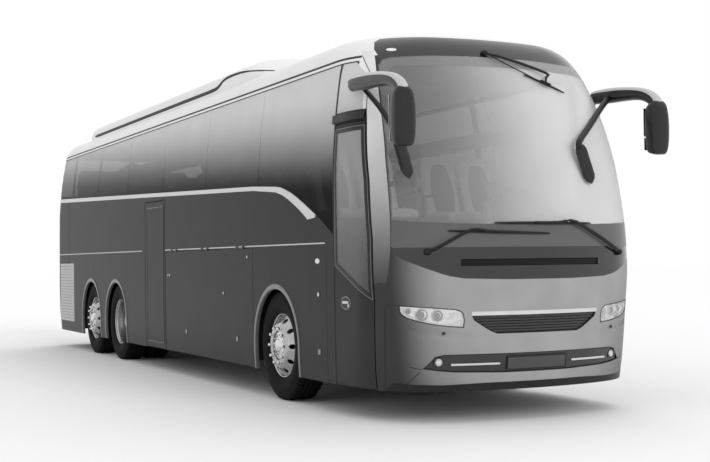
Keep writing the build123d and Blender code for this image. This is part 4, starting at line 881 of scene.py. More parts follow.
# %% [markdown]
# ## Round forms and repeats
# Wheels, lamps and locks are turned on a lathe: a short profile goes round an axis. What repeats round a
# wheel or along the coach is left to Geometry Nodes. A guide mesh has one point for each copy, and an
# attribute called turn says how far that copy is turned. The tree puts the part on every point, makes the
# copies real and welds the seams, so a wheel disc is drawn as one tenth of itself.

# %% Lathe and rings
def lathe(profile, count=72):
    """A closed profile of (radius, distance out) turned about Y: (points, faces)."""
    size = len(profile)
    turns = np.linspace(0, 2 * math.pi, count, endpoint=False)
    points = [(r * math.cos(t), out, r * math.sin(t)) for t in turns for r, out in profile]
    faces = []
    for a in range(count):
        for k in range(size):
            b, n = (a + 1) % count, (k + 1) % size
            faces.append((a * size + k, a * size + n, b * size + n, b * size + k))
    return np.array(points), faces


def tube(rings, size, capped=False):
    """Faces that join rings of points, each to the next."""
    faces = [(i * size + k, i * size + (k + 1) % size, (i + 1) * size + (k + 1) % size, (i + 1) * size + k)
             for i in range(rings - 1) for k in range(size)]
    if capped:
        faces += [tuple(range(size))[::-1], tuple((rings - 1) * size + k for k in range(size))]
    return faces


def joined(*shapes):
    """Several (points, faces) as one."""
    points, faces, start = [], [], 0
    for shape_points, shape_faces in shapes:
        points.append(np.asarray(shape_points, float))
        faces += [tuple(int(i) + start for i in face) for face in shape_faces]
        start += len(shape_points)
    return np.concatenate(points), faces


# %% Repeats by Geometry Nodes
def repeat_tree():
    """The node tree that puts a part on every point of a guide."""
    tree = bpy.data.node_groups.new("repeat_part", "GeometryNodeTree")
    for name, kind in (("Guide", "Geometry"), ("Part", "Object"), ("Size", "Float"), ("Weld", "Float"),
                       ("Finish", "Material")):
        tree.interface.new_socket(name, in_out="INPUT", socket_type=f"NodeSocket{kind}")
    tree.interface.new_socket("Copies", in_out="OUTPUT", socket_type="NodeSocketGeometry")
    given, out, part, turn, rotation, place, real, weld, paint = (tree.nodes.new(kind) for kind in (
        "NodeGroupInput", "NodeGroupOutput", "GeometryNodeObjectInfo", "GeometryNodeInputNamedAttribute",
        "FunctionNodeEulerToRotation", "GeometryNodeInstanceOnPoints", "GeometryNodeRealizeInstances",
        "GeometryNodeMergeByDistance", "GeometryNodeSetMaterial"))
    turn.data_type = "FLOAT_VECTOR"
    turn.inputs["Name"].default_value = "turn"
    for joint in (
            (given, "Part", part, "Object"), (turn, "Attribute", rotation, 0),
            (given, "Guide", place, "Points"), (part, "Geometry", place, "Instance"),
            (rotation, 0, place, "Rotation"), (given, "Size", place, "Scale"),
            (place, "Instances", real, "Geometry"), (real, "Geometry", weld, "Geometry"),
            (given, "Weld", weld, "Distance"), (weld, "Geometry", paint, "Geometry"),
            (given, "Finish", paint, "Material"), (paint, "Geometry", out, "Copies")):
        wire(*joint)
    return tree


REPEAT = repeat_tree()
print("repeat tree with", len(REPEAT.nodes), "nodes")


def repeated(shape, places, turns=None, weld=0.0, size=1.0, material=BLACK):
    """Copies of a shape at places, each turned by its (x, y, z) angles: (points, faces)."""
    part = bare_piece("repeat_part", *shape, [material], tidy=False)
    guide_mesh = bpy.data.meshes.new("repeat_guide")
    guide_mesh.from_pydata([tuple(map(float, p)) for p in places], [], [])
    turn = guide_mesh.attributes.new("turn", "FLOAT_VECTOR", "POINT")
    turns = np.zeros((len(places), 3)) if turns is None else turns
    turn.data.foreach_set("vector", np.asarray(turns, np.float32).ravel())
    guide = bpy.data.objects.new("repeat_guide", guide_mesh)
    bpy.context.scene.collection.objects.link(guide)
    modifier = guide.modifiers.new("repeat", "NODES")
    modifier.node_group = REPEAT
    sockets = {item.name: item.identifier for item in REPEAT.interface.items_tree if item.in_out == "INPUT"}
    for name, value in (("Part", part), ("Size", size), ("Weld", weld), ("Finish", material)):
        modifier[sockets[name]] = value
    bpy.context.view_layer.update()
    result = bpy.data.meshes.new_from_object(guide.evaluated_get(bpy.context.evaluated_depsgraph_get()))
    points = np.array([v.co for v in result.vertices])
    faces = [tuple(p.vertices) for p in result.polygons]
    for extra in (guide, part):
        bpy.data.objects.remove(extra)
    bpy.data.meshes.remove(result)
    return points, faces


def round_turns(count, start=0.0):
    """Places on the axis and turns about Y for copies spread evenly round a wheel."""
    return np.zeros((count, 3)), [(0.0, start + 2 * math.pi * k / count, 0.0) for k in range(count)]


def on_circle(count, radius, out, start=0.0):
    """Places on a circle about Y."""
    turns = start + 2 * math.pi * np.arange(count) / count
    return [(radius * math.cos(t), out, radius * math.sin(t)) for t in turns]


# %% [markdown]
# ## Tyres
# A coach tyre has a round side wall, a raised ring that guards the rim, and a tread with four grooves round
# it and short cuts across its shoulders. One narrow slice of the tyre carries one cut, and seventy-two copies
# of the slice close the ring.

# %% Tyres
TREAD = 0.515
TYRE_SLICES = 72
GROOVES = (0.062, 0.018)              # inner edge of each groove, from the tyre's middle
GROOVE_WIDE, GROOVE_DEEP, CUT_DEEP = 0.012, 0.011, 0.009
# place along the slice, cut or not
CUT_STEPS = ((0.0, 0), (0.34, 0), (0.40, 1), (0.60, 1), (0.66, 0), (1.0, 0))
SIDE_WALL = [(0.2860, 0.1075), (0.2995, 0.1100), (0.3060, 0.1165), (0.3190, 0.1265), (0.3330, 0.1335),
             (0.3355, 0.1358), (0.3420, 0.1372), (0.3445, 0.1360), (0.3660, 0.1432), (0.3910, 0.1472),
             (0.4200, 0.1470), (0.4480, 0.1440), (0.4500, 0.1425), (0.4720, 0.1390), (0.4900, 0.1335),
             (0.5047, 0.1268), (0.5115, 0.1200)]


def tyre_slice():
    """One slice of a tyre, with the cut across its shoulder: (points, faces)."""
    tread = [(TREAD, 0.112, 1), (TREAD, GROOVES[0] + GROOVE_WIDE + 0.004, 1)]
    for edge in GROOVES:
        tread += [(TREAD, edge + GROOVE_WIDE, 0), (TREAD - GROOVE_DEEP, edge + GROOVE_WIDE - 0.002, 0),
                  (TREAD - GROOVE_DEEP, edge + 0.002, 0), (TREAD, edge, 0)]
    half = [(r, out, 0) for r, out in SIDE_WALL[:-2]] + [(r, out, 1) for r, out in SIDE_WALL[-2:]] + tread
    section = half + [(r, -out, cut) for r, out, cut in reversed(half)]
    angle = 2 * math.pi / TYRE_SLICES
    points = []
    for share, deep in CUT_STEPS:
        turn = angle * share
        for r, out, cut in section:
            r = r - CUT_DEEP * deep * cut
            points.append((r * math.cos(turn), out, r * math.sin(turn)))
    return np.array(points), tube(len(CUT_STEPS), len(section))


TYRE_SHAPE = repeated(tyre_slice(), *round_turns(TYRE_SLICES), weld=0.0002, material=TYRE)
print("tyre faces", len(TYRE_SHAPE[1]))

# %% [markdown]
# ## Wheel discs
# The steel disc of a steered wheel bulges outwards: a flat plate that is bolted to the hub, and a cone with
# ten round hand holes. A driven wheel wears the same disc the other way round, so its face is a deep bowl.
# One tenth of the disc is drawn flat, with its hole, and bent onto the cone.

# %% Wheel discs
DISC_ROUND = 10
HOLE_CIRCLE, HOLE = 0.2405, 0.0235
DISC_SHAPE = np.array([(0.138, 0.1675), (0.192, 0.1675), (0.202, 0.1655), (0.210, 0.1590), (0.222, 0.1440),
                       (0.255, 0.1060), (0.264, 0.0970), (0.271, 0.0920), (0.2775, 0.0900)])
DISC_THICK = 0.010
BARREL = [(0.3030, 0.1060), (0.3040, 0.1120), (0.3000, 0.1165), (0.2940, 0.1150), (0.2880, 0.1060),
          (0.2810, 0.0960), (0.2768, 0.0850), (0.2768, -0.0850), (0.2810, -0.0960), (0.2880, -0.1060),
          (0.2940, -0.1150), (0.3000, -0.1165), (0.3040, -0.1120), (0.3030, -0.1060), (0.2856, -0.1040),
          (0.2856, 0.1040)]


def disc_slice():
    """One tenth of the disc, with its hand hole."""
    sides = math.pi / DISC_ROUND
    half = sides * HOLE_CIRCLE
    inner, outer = DISC_SHAPE[0, 0], DISC_SHAPE[-1, 0]
    rows = np.linspace(inner, outer, 12)
    region = np.concatenate([
        [(-half, r) for r in rows], dense([(-half, outer), (half, outer)], 0.010)[1:9],
        [(half, r) for r in rows[::-1]], dense([(half, inner), (-half, inner)], 0.010)[1:9]])
    hole = np.array(oval(0.0, HOLE_CIRCLE, HOLE, HOLE))
    flat, faces = triangles([region], [hole], 0.012)
    turn, r = flat[:, 0] / HOLE_CIRCLE, flat[:, 1]
    outs = np.interp(r, DISC_SHAPE[:, 0], DISC_SHAPE[:, 1])
    layers = [np.stack([r * np.cos(turn), outs - back, r * np.sin(turn)], 1) for back in (0.0, DISC_THICK)]
    points, all_faces, _ = thick(layers[0], layers[1], faces)

    def on_cut(face):
        return len(face) == 4 and all(abs(abs(math.atan2(points[i][2], points[i][0])) - sides) < 1e-4
                                      for i in face)

    return points, [face for face in all_faces if not on_cut(face)]


NUT = lathe([(0.0, 0.034), (0.008, 0.0335), (0.013, 0.030), (0.0155, 0.025), (0.0160, 0.004), (0.0200, 0.002),
             (0.0205, 0.0), (0.0, 0.0)], 12)
BOLT = lathe([(0.0, 0.010), (0.006, 0.0095), (0.0085, 0.007), (0.009, 0.0), (0.0, 0.0)], 8)
STEER_HUB = lathe([(0.0, 0.1850), (0.030, 0.1845), (0.052, 0.1810), (0.060, 0.1750), (0.063, 0.1640),
                   (0.070, 0.1600), (0.122, 0.1590), (0.132, 0.1560), (0.1375, 0.1500), (0.1375, 0.120),
                   (0.0, 0.120)], 48)
DRIVE_HUB = lathe([(0.0, 0.050), (0.060, 0.049), (0.086, 0.044), (0.096, 0.034), (0.099, 0.012),
                   (0.108, 0.004), (0.130, 0.000), (0.137, -0.010), (0.1375, -0.16), (0.0, -0.16)], 48)
NUT_CIRCLE, NUT_OUT, DRIVE_NUT_OUT = 0.1675, 0.1675, -0.1575
disc = repeated(disc_slice(), *round_turns(DISC_ROUND), weld=0.0004, material=RIM_METAL)
STEER_DISC = joined(disc, lathe(BARREL, 80))
STEER_BOLTS = joined(repeated(NUT, on_circle(DISC_ROUND, NUT_CIRCLE, NUT_OUT), material=CHROME),
                     repeated(BOLT, on_circle(12, 0.103, 0.1585, 0.13), material=CHROME))
DRIVE_BOLTS = joined(repeated(NUT, on_circle(DISC_ROUND, NUT_CIRCLE, DRIVE_NUT_OUT), material=CHROME),
                     repeated(BOLT, on_circle(10, 0.118, 0.001, 0.2), material=CHROME))
print("disc faces", len(disc[1]))

# %% Wheels on their bodies
WHEEL_OUT, TWIN_OUT, DRIVE_X, TAG_X = 1.0875, 0.7525, -5.9, -7.3


def stand(shape, x, across, side, face=1):
    """A wheel's shape, made with its face towards +Y, at its place. face -1 turns it inside out."""
    points, faces = shape
    way = side * face
    return np.asarray(points) * (way, way, 1) + (x, side * across, HUB), faces


for word, side, _ in SIDES:
    for axle, x in (("front", 0.0), ("tag", TAG_X)):
        body = f"{axle}_wheel_{word}"
        for name, shape, material, slot, solid in (("tyre_{}_treaded", TYRE_SHAPE, TYRE, "rubber", "tyre"),
                                                   ("disc_{}", STEER_DISC, RIM_METAL, "chrome", "rim"),
                                                   ("hub_{}", STEER_HUB, CHROME, "chrome", None),
                                                   ("nuts_{}", STEER_BOLTS, CHROME, "chrome", None)):
            add(f"{axle}_{name}".format(word), *stand(shape, x, WHEEL_OUT, side), material, slot,
                [f"{axle}_{solid}_{word}"] if solid else (), body=body)
    body = f"drive_wheels_{word}"
    twins = joined(stand(TYRE_SHAPE, DRIVE_X, WHEEL_OUT, side), stand(TYRE_SHAPE, DRIVE_X, TWIN_OUT, side))
    add(f"drive_tyres_{word}_treaded", *twins, TYRE, "rubber", [f"drive_tyres_{word}"], body=body)
    discs = joined(stand(STEER_DISC, DRIVE_X, WHEEL_OUT, side, -1),
                   stand(STEER_DISC, DRIVE_X, TWIN_OUT, side))
    add(f"drive_discs_{word}", *discs, RIM_METAL, "chrome", [f"drive_rims_{word}"], body=body)
    add(f"drive_hub_{word}", *stand(DRIVE_HUB, DRIVE_X, WHEEL_OUT, side), CHROME, "chrome", body=body)
    add(f"drive_nuts_{word}", *stand(DRIVE_BOLTS, DRIVE_X, WHEEL_OUT, side), CHROME, "chrome", body=body)
print("eight wheels with tyres, discs and nuts")

# %% [markdown]
# ## Bright rings round the wheel arches
# Each wheel opening wears a bright ring that hides the sheet's raw edge. It is a narrow panel of the same
# skin, four millimetres proud, with a narrower one three millimetres higher that rounds its face.

# %% Arch rings
for word, side, _ in SIDES:
    for number, x in enumerate(ARCHES, 1):
        for layer, (inside, outside, proud, depth, solids) in enumerate((
                (0.0, RING, 0.004, 0.03, ["arch_rings"]), (0.008, RING - 0.008, 0.007, 0.006, []))):
            panel(f"arch_ring_{word}_{number}_{layer}", [from_side(arch_drawing(x, ARCH + outside), side)],
                  [from_side(arch_drawing(x, ARCH + inside), side)], ARCH_TRIM, "bright_trim",
                  solids, depth=depth, proud=proud, pitch=0.05)
print("rings round", 2 * len(ARCHES), "wheel openings")

# %% [markdown]
# ## Lamps, grille and bumper
# A modern headlamp is a bright bowl with round lamps in it under a clear cover. The bowl's floor lies four
# centimetres behind the cover, a thin wall joins them, and each round lamp is turned on the lathe and set
# facing forward. The covers, bars and plates are drawn on the skin as the panels are.

# %% Small nose helpers
def shrink(drawing, by):
    """A closed drawing moved inwards by a distance."""
    points = np.asarray(drawing, float)
    before, after = np.roll(points, 1, axis=0), np.roll(points, -1, axis=0)
    normals = []
    for start, end in ((before, points), (points, after)):
        along = (end - start) / np.maximum(np.linalg.norm(end - start, axis=1), 1e-9)[:, None]
        normals.append(np.stack([-along[:, 1], along[:, 0]], 1))
    mean = normals[0] + normals[1]
    mean /= np.maximum(np.linalg.norm(mean, axis=1), 1e-9)[:, None]
    miter = 1 / np.maximum((mean * normals[0]).sum(axis=1), 0.5)
    area = np.sum(points[:, 0] * after[:, 1] - after[:, 0] * points[:, 1])
    return [tuple(p) for p in points + mean * (miter * by * (1 if area > 0 else -1))[:, None]]


def nose_bit(name, drawing, material, slot, proud, depth, cuts=(), pitch=0.03, replaces=()):
    """A piece of the nose drawn from ahead."""
    return panel(name, [from_ahead(drawing)], [from_ahead(cut) for cut in cuts], material, slot,
                 replaces, depth=depth, proud=proud, pitch=pitch)


def nose_point(across, z, proud=0.0):
    """A point on the nose over a place seen from ahead."""
    spot = spot_ahead(across, z)
    return body_at(spot[:1], spot[1:], np.array([proud]))[0]


def facing_ahead(shape, place, lean=0.0):
    """A lathed shape turned from +Y to +X, swung outwards by lean, at a place."""
    points, faces = shape
    x, y, z = points[:, 1], -points[:, 0], points[:, 2]
    c, s = math.cos(lean), math.sin(lean)
    turned = np.stack([x * c - y * s, x * s + y * c, z], 1)
    return turned + place, faces


# %% Headlamps
LAMP_DEEP = 0.044
LAMPS = [
    # across, height, radius, how far the lamp swings outwards: main, dipped and side lamp
    (0.975, 0.868, 0.050, 0.30), (0.862, 0.862, 0.046, 0.22), (1.066, 0.898, 0.024, 0.45)]
DOME_SHARE, DOME_BACK = 0.58, -0.018
RIBS, FIRST_RIB, RIB_STEP, RIB_WIDE = 6, 0.700, 0.013, 0.004


def lamp_cup(radius):
    """A bright cup with a rolled edge."""
    return lathe([(0.0, -0.030), (0.3 * radius, -0.029), (0.62 * radius, -0.022), (0.86 * radius, -0.008),
                  (0.94 * radius, 0.002), (radius, 0.003), (1.04 * radius, -0.001), (1.04 * radius, -0.034),
                  (0.0, -0.034)], 36)


def lamp_dome(radius):
    """The round lens that stands in a cup."""
    radius, back = DOME_SHARE * radius, DOME_BACK
    return lathe([(0.0, back + 0.55 * radius), (0.35 * radius, back + 0.50 * radius),
                  (0.68 * radius, back + 0.33 * radius), (0.92 * radius, back + 0.08 * radius),
                  (radius, back), (0.0, back - 0.002)], 30)


for word, side, _ in SIDES:
    drawing = LAMP if side == LEFT else other(LAMP)
    inner = shrink(drawing, 0.006)
    nose_bit(f"headlamp_bowl_{word}", drawing, LAMP_BOWL, "lamp_lens", -LAMP_DEEP, 0.006)
    nose_bit(f"headlamp_wall_{word}", drawing, LAMP_BOWL, "lamp_lens", -0.004, LAMP_DEEP - 0.002, [inner])
    nose_bit(f"headlamp_seal_{word}", drawing, SEAM, "black_plastic", 0.0012, 0.006, [shrink(drawing, 0.007)])
    nose_bit(f"headlamp_cover_{word}", inner, LENS, "lamp_lens", 0.0, 0.003, replaces=["headlamps"])
    spots = [(radius, nose_point(side * across, z, -0.010 - 0.25 * radius), side * lean)
             for across, z, radius, lean in LAMPS]
    cups = [facing_ahead(lamp_cup(radius), place, lean) for radius, place, lean in spots]
    domes = [facing_ahead(lamp_dome(radius), place, lean) for radius, place, lean in spots]
    add(f"headlamp_cups_{word}", *joined(*cups), CHROME, "lamp_lens")
    add(f"headlamp_projectors_{word}", *joined(*domes), GLOSS_BLACK, "lamp_lens")
    for number in range(RIBS):
        start = FIRST_RIB + RIB_STEP * number
        rib = box_drawing(*sorted((side * start, side * (start + RIB_WIDE))), 0.79, 0.885)
        nose_bit(f"headlamp_rib_{word}_{number}", rib, LAMP_BOWL, "lamp_lens", -0.030, 0.012, pitch=0.05)
print("two headlamps with", len(LAMPS), "lamps each")

# %% Grille, insert, plate and fog lamps
def half_width(drawing, z):
    """Half the width of a symmetric drawing at a height."""
    left = sorted((p[1], p[0]) for p in drawing if p[0] > 0)
    return float(np.interp(z, [p[0] for p in left], [p[1] for p in left]))


BAR_HALF, BAR_LOW, BAR_HIGH = 0.603, 0.861, 0.893
SLATS, SLAT_RISE, SLAT_DEEP = np.linspace(0.735, 0.845, 6), 0.0075, 0.012
for number, z in enumerate(SLATS):
    reach = half_width(GRILLE, z) - 0.008
    nose_bit(f"grille_slat_{number}", box_drawing(-reach, reach, z - SLAT_RISE, z + SLAT_RISE), GLOSS_BLACK,
             "black_plastic", -0.009, SLAT_DEEP)
nose_bit("grille_frame", GRILLE, SEAM, "black_plastic", 0.0005, 0.02, [shrink(GRILLE, 0.007)])
for layer, (margin, proud, depth) in enumerate(((0.0, 0.003, 0.012), (0.006, 0.0055, 0.004))):
    reach = BAR_HALF - margin
    nose_bit(f"grille_bar_{layer}", box_drawing(-reach, reach, BAR_LOW + margin, BAR_HIGH - margin), CHROME,
             "bright_trim", proud, depth)
nose_bit("insert_frame", INSERT, BLACK, "black_plastic", 0.0005, 0.018, [shrink(INSERT, 0.006)])
for word, side, _ in SIDES:
    strip = box_drawing(*sorted((side * 0.345, side * 0.745)), 0.465, 0.481)
    nose_bit(f"insert_strip_{word}", strip, CHROME, "bright_trim", -0.0005, 0.014)
plate = box_drawing(-0.285, 0.285, 0.418, 0.528)
nose_bit("number_plate_blank", plate, DASH_DARK, "black_plastic", 0.001, 0.012)
nose_bit("number_plate_frame", plate, BLACK, "black_plastic", 0.003, 0.008, [shrink(plate, 0.008)])
FOG_LEAN, SENSOR = 0.2, (0.812, 0.725)
FOG_PARTS = (
    # name, profile, steps round it, finish, slot
    ("fog_lamp_bezel", [(0.030, 0.004), (0.036, 0.006), (0.0415, 0.003), (0.0415, -0.040), (0.034, -0.040),
                        (0.030, -0.004)], 36, GLOSS_BLACK, "black_plastic"),
    ("fog_lamp_cup", [(0.0, -0.020), (0.015, -0.018), (0.026, -0.008), (0.0305, 0.0), (0.0305, -0.024),
                      (0.0, -0.024)], 30, CHROME, "lamp_lens"),
    ("fog_lamp_cover", [(0.0, 0.006), (0.016, 0.005), (0.027, 0.002), (0.0305, -0.001), (0.0305, -0.003),
                        (0.0, 0.003)], 30, LENS, "lamp_lens"),
    ("parking_sensor", [(0.0, 0.004), (0.010, 0.0035), (0.0125, 0.0), (0.014, -0.004), (0.0, -0.004)], 24,
     GLOSS_BLACK, "black_plastic"))
MARKER_ACROSS, MARKER_Z, MARKER_WIDE, MARKER_SQUASH = 0.90, 3.073, 0.034, 0.4
for word, side, _ in SIDES:
    for name, profile, steps, material, slot in FOG_PARTS:
        (across, z), back = (SENSOR, 0.0) if name == "parking_sensor" else (FOG, -0.006)
        shape = facing_ahead(lathe(profile, steps), nose_point(side * across, z, back), side * FOG_LEAN)
        add(f"{name}_{word}", *shape, material, slot)
    marker = oval(side * MARKER_ACROSS, MARKER_Z, MARKER_WIDE, MARKER_SQUASH * MARKER_WIDE, 24)
    nose_bit(f"header_marker_{word}", marker, LINING, "lamp_lens", 0.004, 0.01)
print("grille with", len(SLATS), "slats, insert, blank plate and fog lamps")

# %% [markdown]
# ## Seams of the nose
# Big mouldings meet in thin dark seams. They are narrow strips that stand a little proud, so they show as
# lines without cutting the panel under them.

# %% Nose seams and lip
def stroke(points, width):
    """A line given as points, as a closed drawing of that width."""
    points = np.asarray(points, float)
    along = np.gradient(points, axis=0)
    along /= np.linalg.norm(along, axis=1)[:, None]
    normal = np.stack([-along[:, 1], along[:, 0]], 1) * width / 2
    return [tuple(p) for p in np.concatenate([points + normal, (points - normal)[::-1]])]


SEAM_WIDE = 0.006
NOSE_LINES = [
    # lines seen from ahead: out from the middle, height
    ("mask_top", [(1.113, 0.949), (1.150, 0.951), (1.183, 0.952)]),
    ("mask_side", [(1.183, 0.952), (1.180, 0.75), (1.172, 0.50), (1.158, 0.268)]),
    ("corner", [(0.967, 0.421), (1.025, 0.345), (1.080, 0.274)]),
    ("bumper_top", [(1.040, 0.462), (0.985, 0.444), (0.953, 0.441)]),
]
for word, side, _ in SIDES:
    for name, line in NOSE_LINES:
        drawing = stroke([(side * out, z) for out, z in line], SEAM_WIDE)
        nose_bit(f"seam_{name}_{word}", drawing, SEAM, "black_plastic", 0.0008, 0.004, pitch=0.08)
LIP = both([(0.45, 0.322), (0.80, 0.312), (1.00, 0.318), (1.12, 0.330), (1.16, SKIRT)])
nose_bit("lower_lip", LIP, BLACK, "black_plastic", 0.0015, 0.02)
COWL_BLADES, BLADE_RISE = (1.268, 1.282, 1.296), 0.003
for number, z in enumerate(COWL_BLADES):
    nose_bit(f"cowl_blade_{number}", box_drawing(-0.69, 0.59, z - BLADE_RISE, z + BLADE_RISE), BLACK,
             "black_plastic", -0.006, 0.014)
# A darker sheet over the windscreen's foot is painted shade: the dark look of the dashboard behind the glass.
SCREEN_FOOT_SHADE = finish("screen_band", grey(88), 0.3, alpha=0.92, tone=0.04, grain=0.0)
# A grey sheet over the windscreen's top is painted shade under the black header.
SHADE = finish("screen_shade", grey(150), 0.3, alpha=0.45, tone=0.04, grain=0.0)
SCREEN_FOOT = both([(0.25, 1.405), (1.150, 1.405), (1.150, 1.634), (1.05, 1.610), (0.8, 1.596), (0.5, 1.588)])
nose_bit("windscreen_band", SCREEN_FOOT, SCREEN_FOOT_SHADE, "clear_glass", 0.0006, 0.002)
SCREEN_TOP = both([(0.3, 2.925), (0.95, 2.915), (1.045, 2.80), (1.03, 2.93), (0.98, 2.985), (0.6, 3.012)])
nose_bit("windscreen_shade", SCREEN_TOP, SHADE, "clear_glass", 0.0006, 0.002)
print(2 * len(NOSE_LINES), "seams, lower lip and screen bands")

# %% [markdown]
# ## Trim of the sides
# A light strip runs under the windows and turns down behind the front door, a thin bright line follows the
# belt, and two dark gutter lines close the edge of the roof. All of them are drawn on the same unrolled side
# as the panels, so they follow its curve.

# %% Strips, gutters and markers
SWOOSH = [(-9.50, 2.364), (-7.0, 2.277), (-4.0, 2.172), (-2.0, 2.102), (-0.585, 2.053), (0.027, 2.016),
          (0.150, 2.003), (0.256, 1.980), (0.420, 1.935), (0.583, 1.876), (0.770, 1.800), (0.942, 1.727),
          (0.968, 1.716), (0.950, 1.690), (0.787, 1.680), (0.762, 1.697), (0.620, 1.768), (0.474, 1.830),
          (0.340, 1.882), (0.198, 1.929), (0.027, 1.964), (-0.585, 2.011), (-2.0, 2.058), (-4.0, 2.125),
          (-7.0, 2.224), (-9.50, 2.307)]


def bar(rear, front, low, high):
    """A long thin rectangle with points along it, so that it can follow the side."""
    count = max(2, int((front - rear) / 0.4))
    xs = np.linspace(rear, front, count)
    return [(float(x), low) for x in xs] + [(float(x), high) for x in xs[::-1]]


def side_bit(name, drawing, side, material, slot, proud, depth, cuts=(), body="coach_body", pitch=0.12,
             replaces=()):
    """A piece of one side drawn from beside."""
    return panel(name, [from_side(drawing, side)], [from_side(cut, side) for cut in cuts], material, slot,
                 replaces, depth=depth, proud=proud, pitch=pitch, body=body)


SIDE_TOP = max(z for _, z in SIDE_ZONE) - 0.001
STRIP = finish("light_strip", grey(204), 0.35, metal=0.2, tone=0.03)
DULL_TRIM = finish("dull_trim", grey(112), 0.4, metal=0.3, tone=0.05)
MARKER = finish("marker_lens", grey(112), 0.25, coat=0.3, tone=0.1, tone_scale=60.0)
EDGES = (
    # name, rear, front, low, high, finish, slot, proud, depth: long lines that run along each side
    ("roof_edge", -9.47, 1.55, 2.990, SIDE_TOP, ROOF_PAINT, "body_paint", 0.0016, 0.006),
    ("gutter", -9.47, 1.55, 3.022, 3.040, SEAM, "black_plastic", 0.004, 0.012),
    ("gutter_lower", -9.47, 1.55, 2.986, 2.995, SEAM, "black_plastic", 0.003, 0.008))
BELT_LINES = {RIGHT: [(-9.44, -4.575), (-3.555, 1.16)], LEFT: [(-9.44, 1.16)]}
MARKERS = [(-2.753, 0.523), (-1.065, 0.523), (1.018, 0.516)]
CAPS = [(-7.276, 1.264, 0.014), (-5.899, 1.263, 0.014), (1.010, 1.017, 0.036)]
SIDE_SEAMS = [(-8.75, -8.745, 0.40, 2.28), (1.178, 1.184, 0.262, 1.446)]
for word, side, _ in SIDES:
    side_bit(f"light_strip_{word}", SWOOSH, side, STRIP, "bright_trim", 0.0045, 0.010)
    for number, (rear, front) in enumerate(BELT_LINES[side]):
        side_bit(f"belt_line_{number}_{word}", bar(rear, front, 1.457, 1.469), side, TRIM, "bright_trim",
                 0.003, 0.008)
    for name, rear, front, low, high, material, slot, proud, depth in EDGES:
        side_bit(f"{name}_{word}", bar(rear, front, low, high), side, material, slot, proud, depth)
    for number, (x, z) in enumerate(MARKERS):
        frame_drawing = bar(x - 0.034, x + 0.034, z - 0.030, z + 0.030)
        lens = bar(x - 0.026, x + 0.026, z - 0.022, z + 0.022)
        flap = "luggage_flap_right" if side == RIGHT else "luggage_flap_left_front"
        owner = "coach_body" if number == 2 else flap
        side_bit(f"marker_frame_{number}_{word}", frame_drawing, side, BLACK, "black_plastic", 0.003, 0.008,
                 [lens], owner)
        side_bit(f"marker_{number}_{word}", lens, side, MARKER, "lamp_lens", 0.0045, 0.008, body=owner)
    side_bit(f"front_marker_{word}", oval(0.996, 1.309, 0.046, 0.023), side, LINING, "lamp_lens", 0.004,
             0.008)
    for number, (x, z, size) in enumerate(CAPS):
        side_bit(f"side_cap_{number}_{word}", oval(x, z, size, size), side, BLACK, "black_plastic", 0.003,
                 0.006)
        side_bit(f"side_cap_middle_{number}_{word}", oval(x, z, 0.5 * size, 0.5 * size, 14), side, STRIP,
                 "bright_trim", 0.0045, 0.006)
    for number, edges in enumerate(SIDE_SEAMS):
        side_bit(f"side_seam_{number}_{word}", bar(*edges), side, SEAM, "black_plastic", 0.001, 0.004)
print("side strips, gutters and markers on both sides")

# %% Doors
MID_DOOR, FRONT_DOOR = mid_door_drawing(DOOR_GAP), door_drawing(DOOR_GAP)
RECESS = oval(1.577, 0.957, 0.085, 0.046, 28)
DOOR_BITS = {
    # name, drawing, finish, slot, proud, depth, cut-outs, pitch
    "mid_door": (
        ("mid_door_edge", MID_DOOR, SEAM, "black_plastic", 0.0012, 0.006, [shrink(MID_DOOR, 0.009)], 0.12),
        ("mid_door_frame", shrink(MID_DOOR, 0.058), BLACK, "black_plastic", 0.004, 0.008,
         [shrink(MID_DOOR, 0.070)], 0.12),
        # The lighter inner edge of the mid door's black frame is a painted highlight.
        ("mid_door_frame_light", shrink(MID_DOOR, 0.070), DULL_TRIM, "bright_trim", 0.003, 0.008,
         [shrink(MID_DOOR, 0.076)], 0.12)),
    "front_door": (
        ("front_door_edge", FRONT_DOOR, SEAM, "black_plastic", 0.0012, 0.006, [shrink(FRONT_DOOR, 0.008)],
         0.12),
        ("front_door_frame", shrink(DOOR_PANE, -0.026), BLACK, "black_plastic", 0.0035, 0.010,
         [shrink(DOOR_PANE, 0.004)], 0.08),
        ("front_door_trim", shrink(DOOR_PANE, -0.034), DULL_TRIM, "bright_trim", 0.0025, 0.008,
         [shrink(DOOR_PANE, -0.028)], 0.08),
        ("front_door_recess", RECESS, BLACK, "black_plastic", 0.002, 0.006, (), 0.04),
        ("front_door_recess_ring", oval(1.577, 0.957, 0.096, 0.056, 28), DULL_TRIM, "bright_trim", 0.003,
         0.006, [RECESS], 0.04),
        ("front_door_handle", bar(1.515, 1.628, 0.950, 0.972), STRIP, "bright_trim", 0.006, 0.008, (), 0.04),
        ("front_door_lock", oval(1.630, 0.935, 0.014, 0.014, 14), STRIP, "bright_trim", 0.005, 0.006, (),
         0.04)),
    "coach_body": (
        ("door_header_bar", bar(1.30, seam_x(2.51) - 0.015, 2.476, 2.546), BLACK, "black_plastic", 0.012,
         0.020, (), 0.12),)}
for body, bits in DOOR_BITS.items():
    for name, drawing, *rest, pitch in bits:
        side_bit(name, drawing, RIGHT, *rest, pitch=pitch, body=body)
for number, (x, z) in enumerate([(-3.380, 1.165), (-3.448, 1.165), (-1.474, 0.985), (-0.759, 1.358)]):
    for name, size, count, material, slot, proud in (("lock_cup", 0.030, 20, BLACK, "black_plastic", 0.002),
                                                     ("lock", 0.014, 14, STRIP, "bright_trim", 0.004)):
        side_bit(f"{name}_{number}", oval(x, z, size, size, count), RIGHT, material, slot, proud, 0.006,
                 body="luggage_flap_right")
print("doors: edges, frames, handle and header bar")

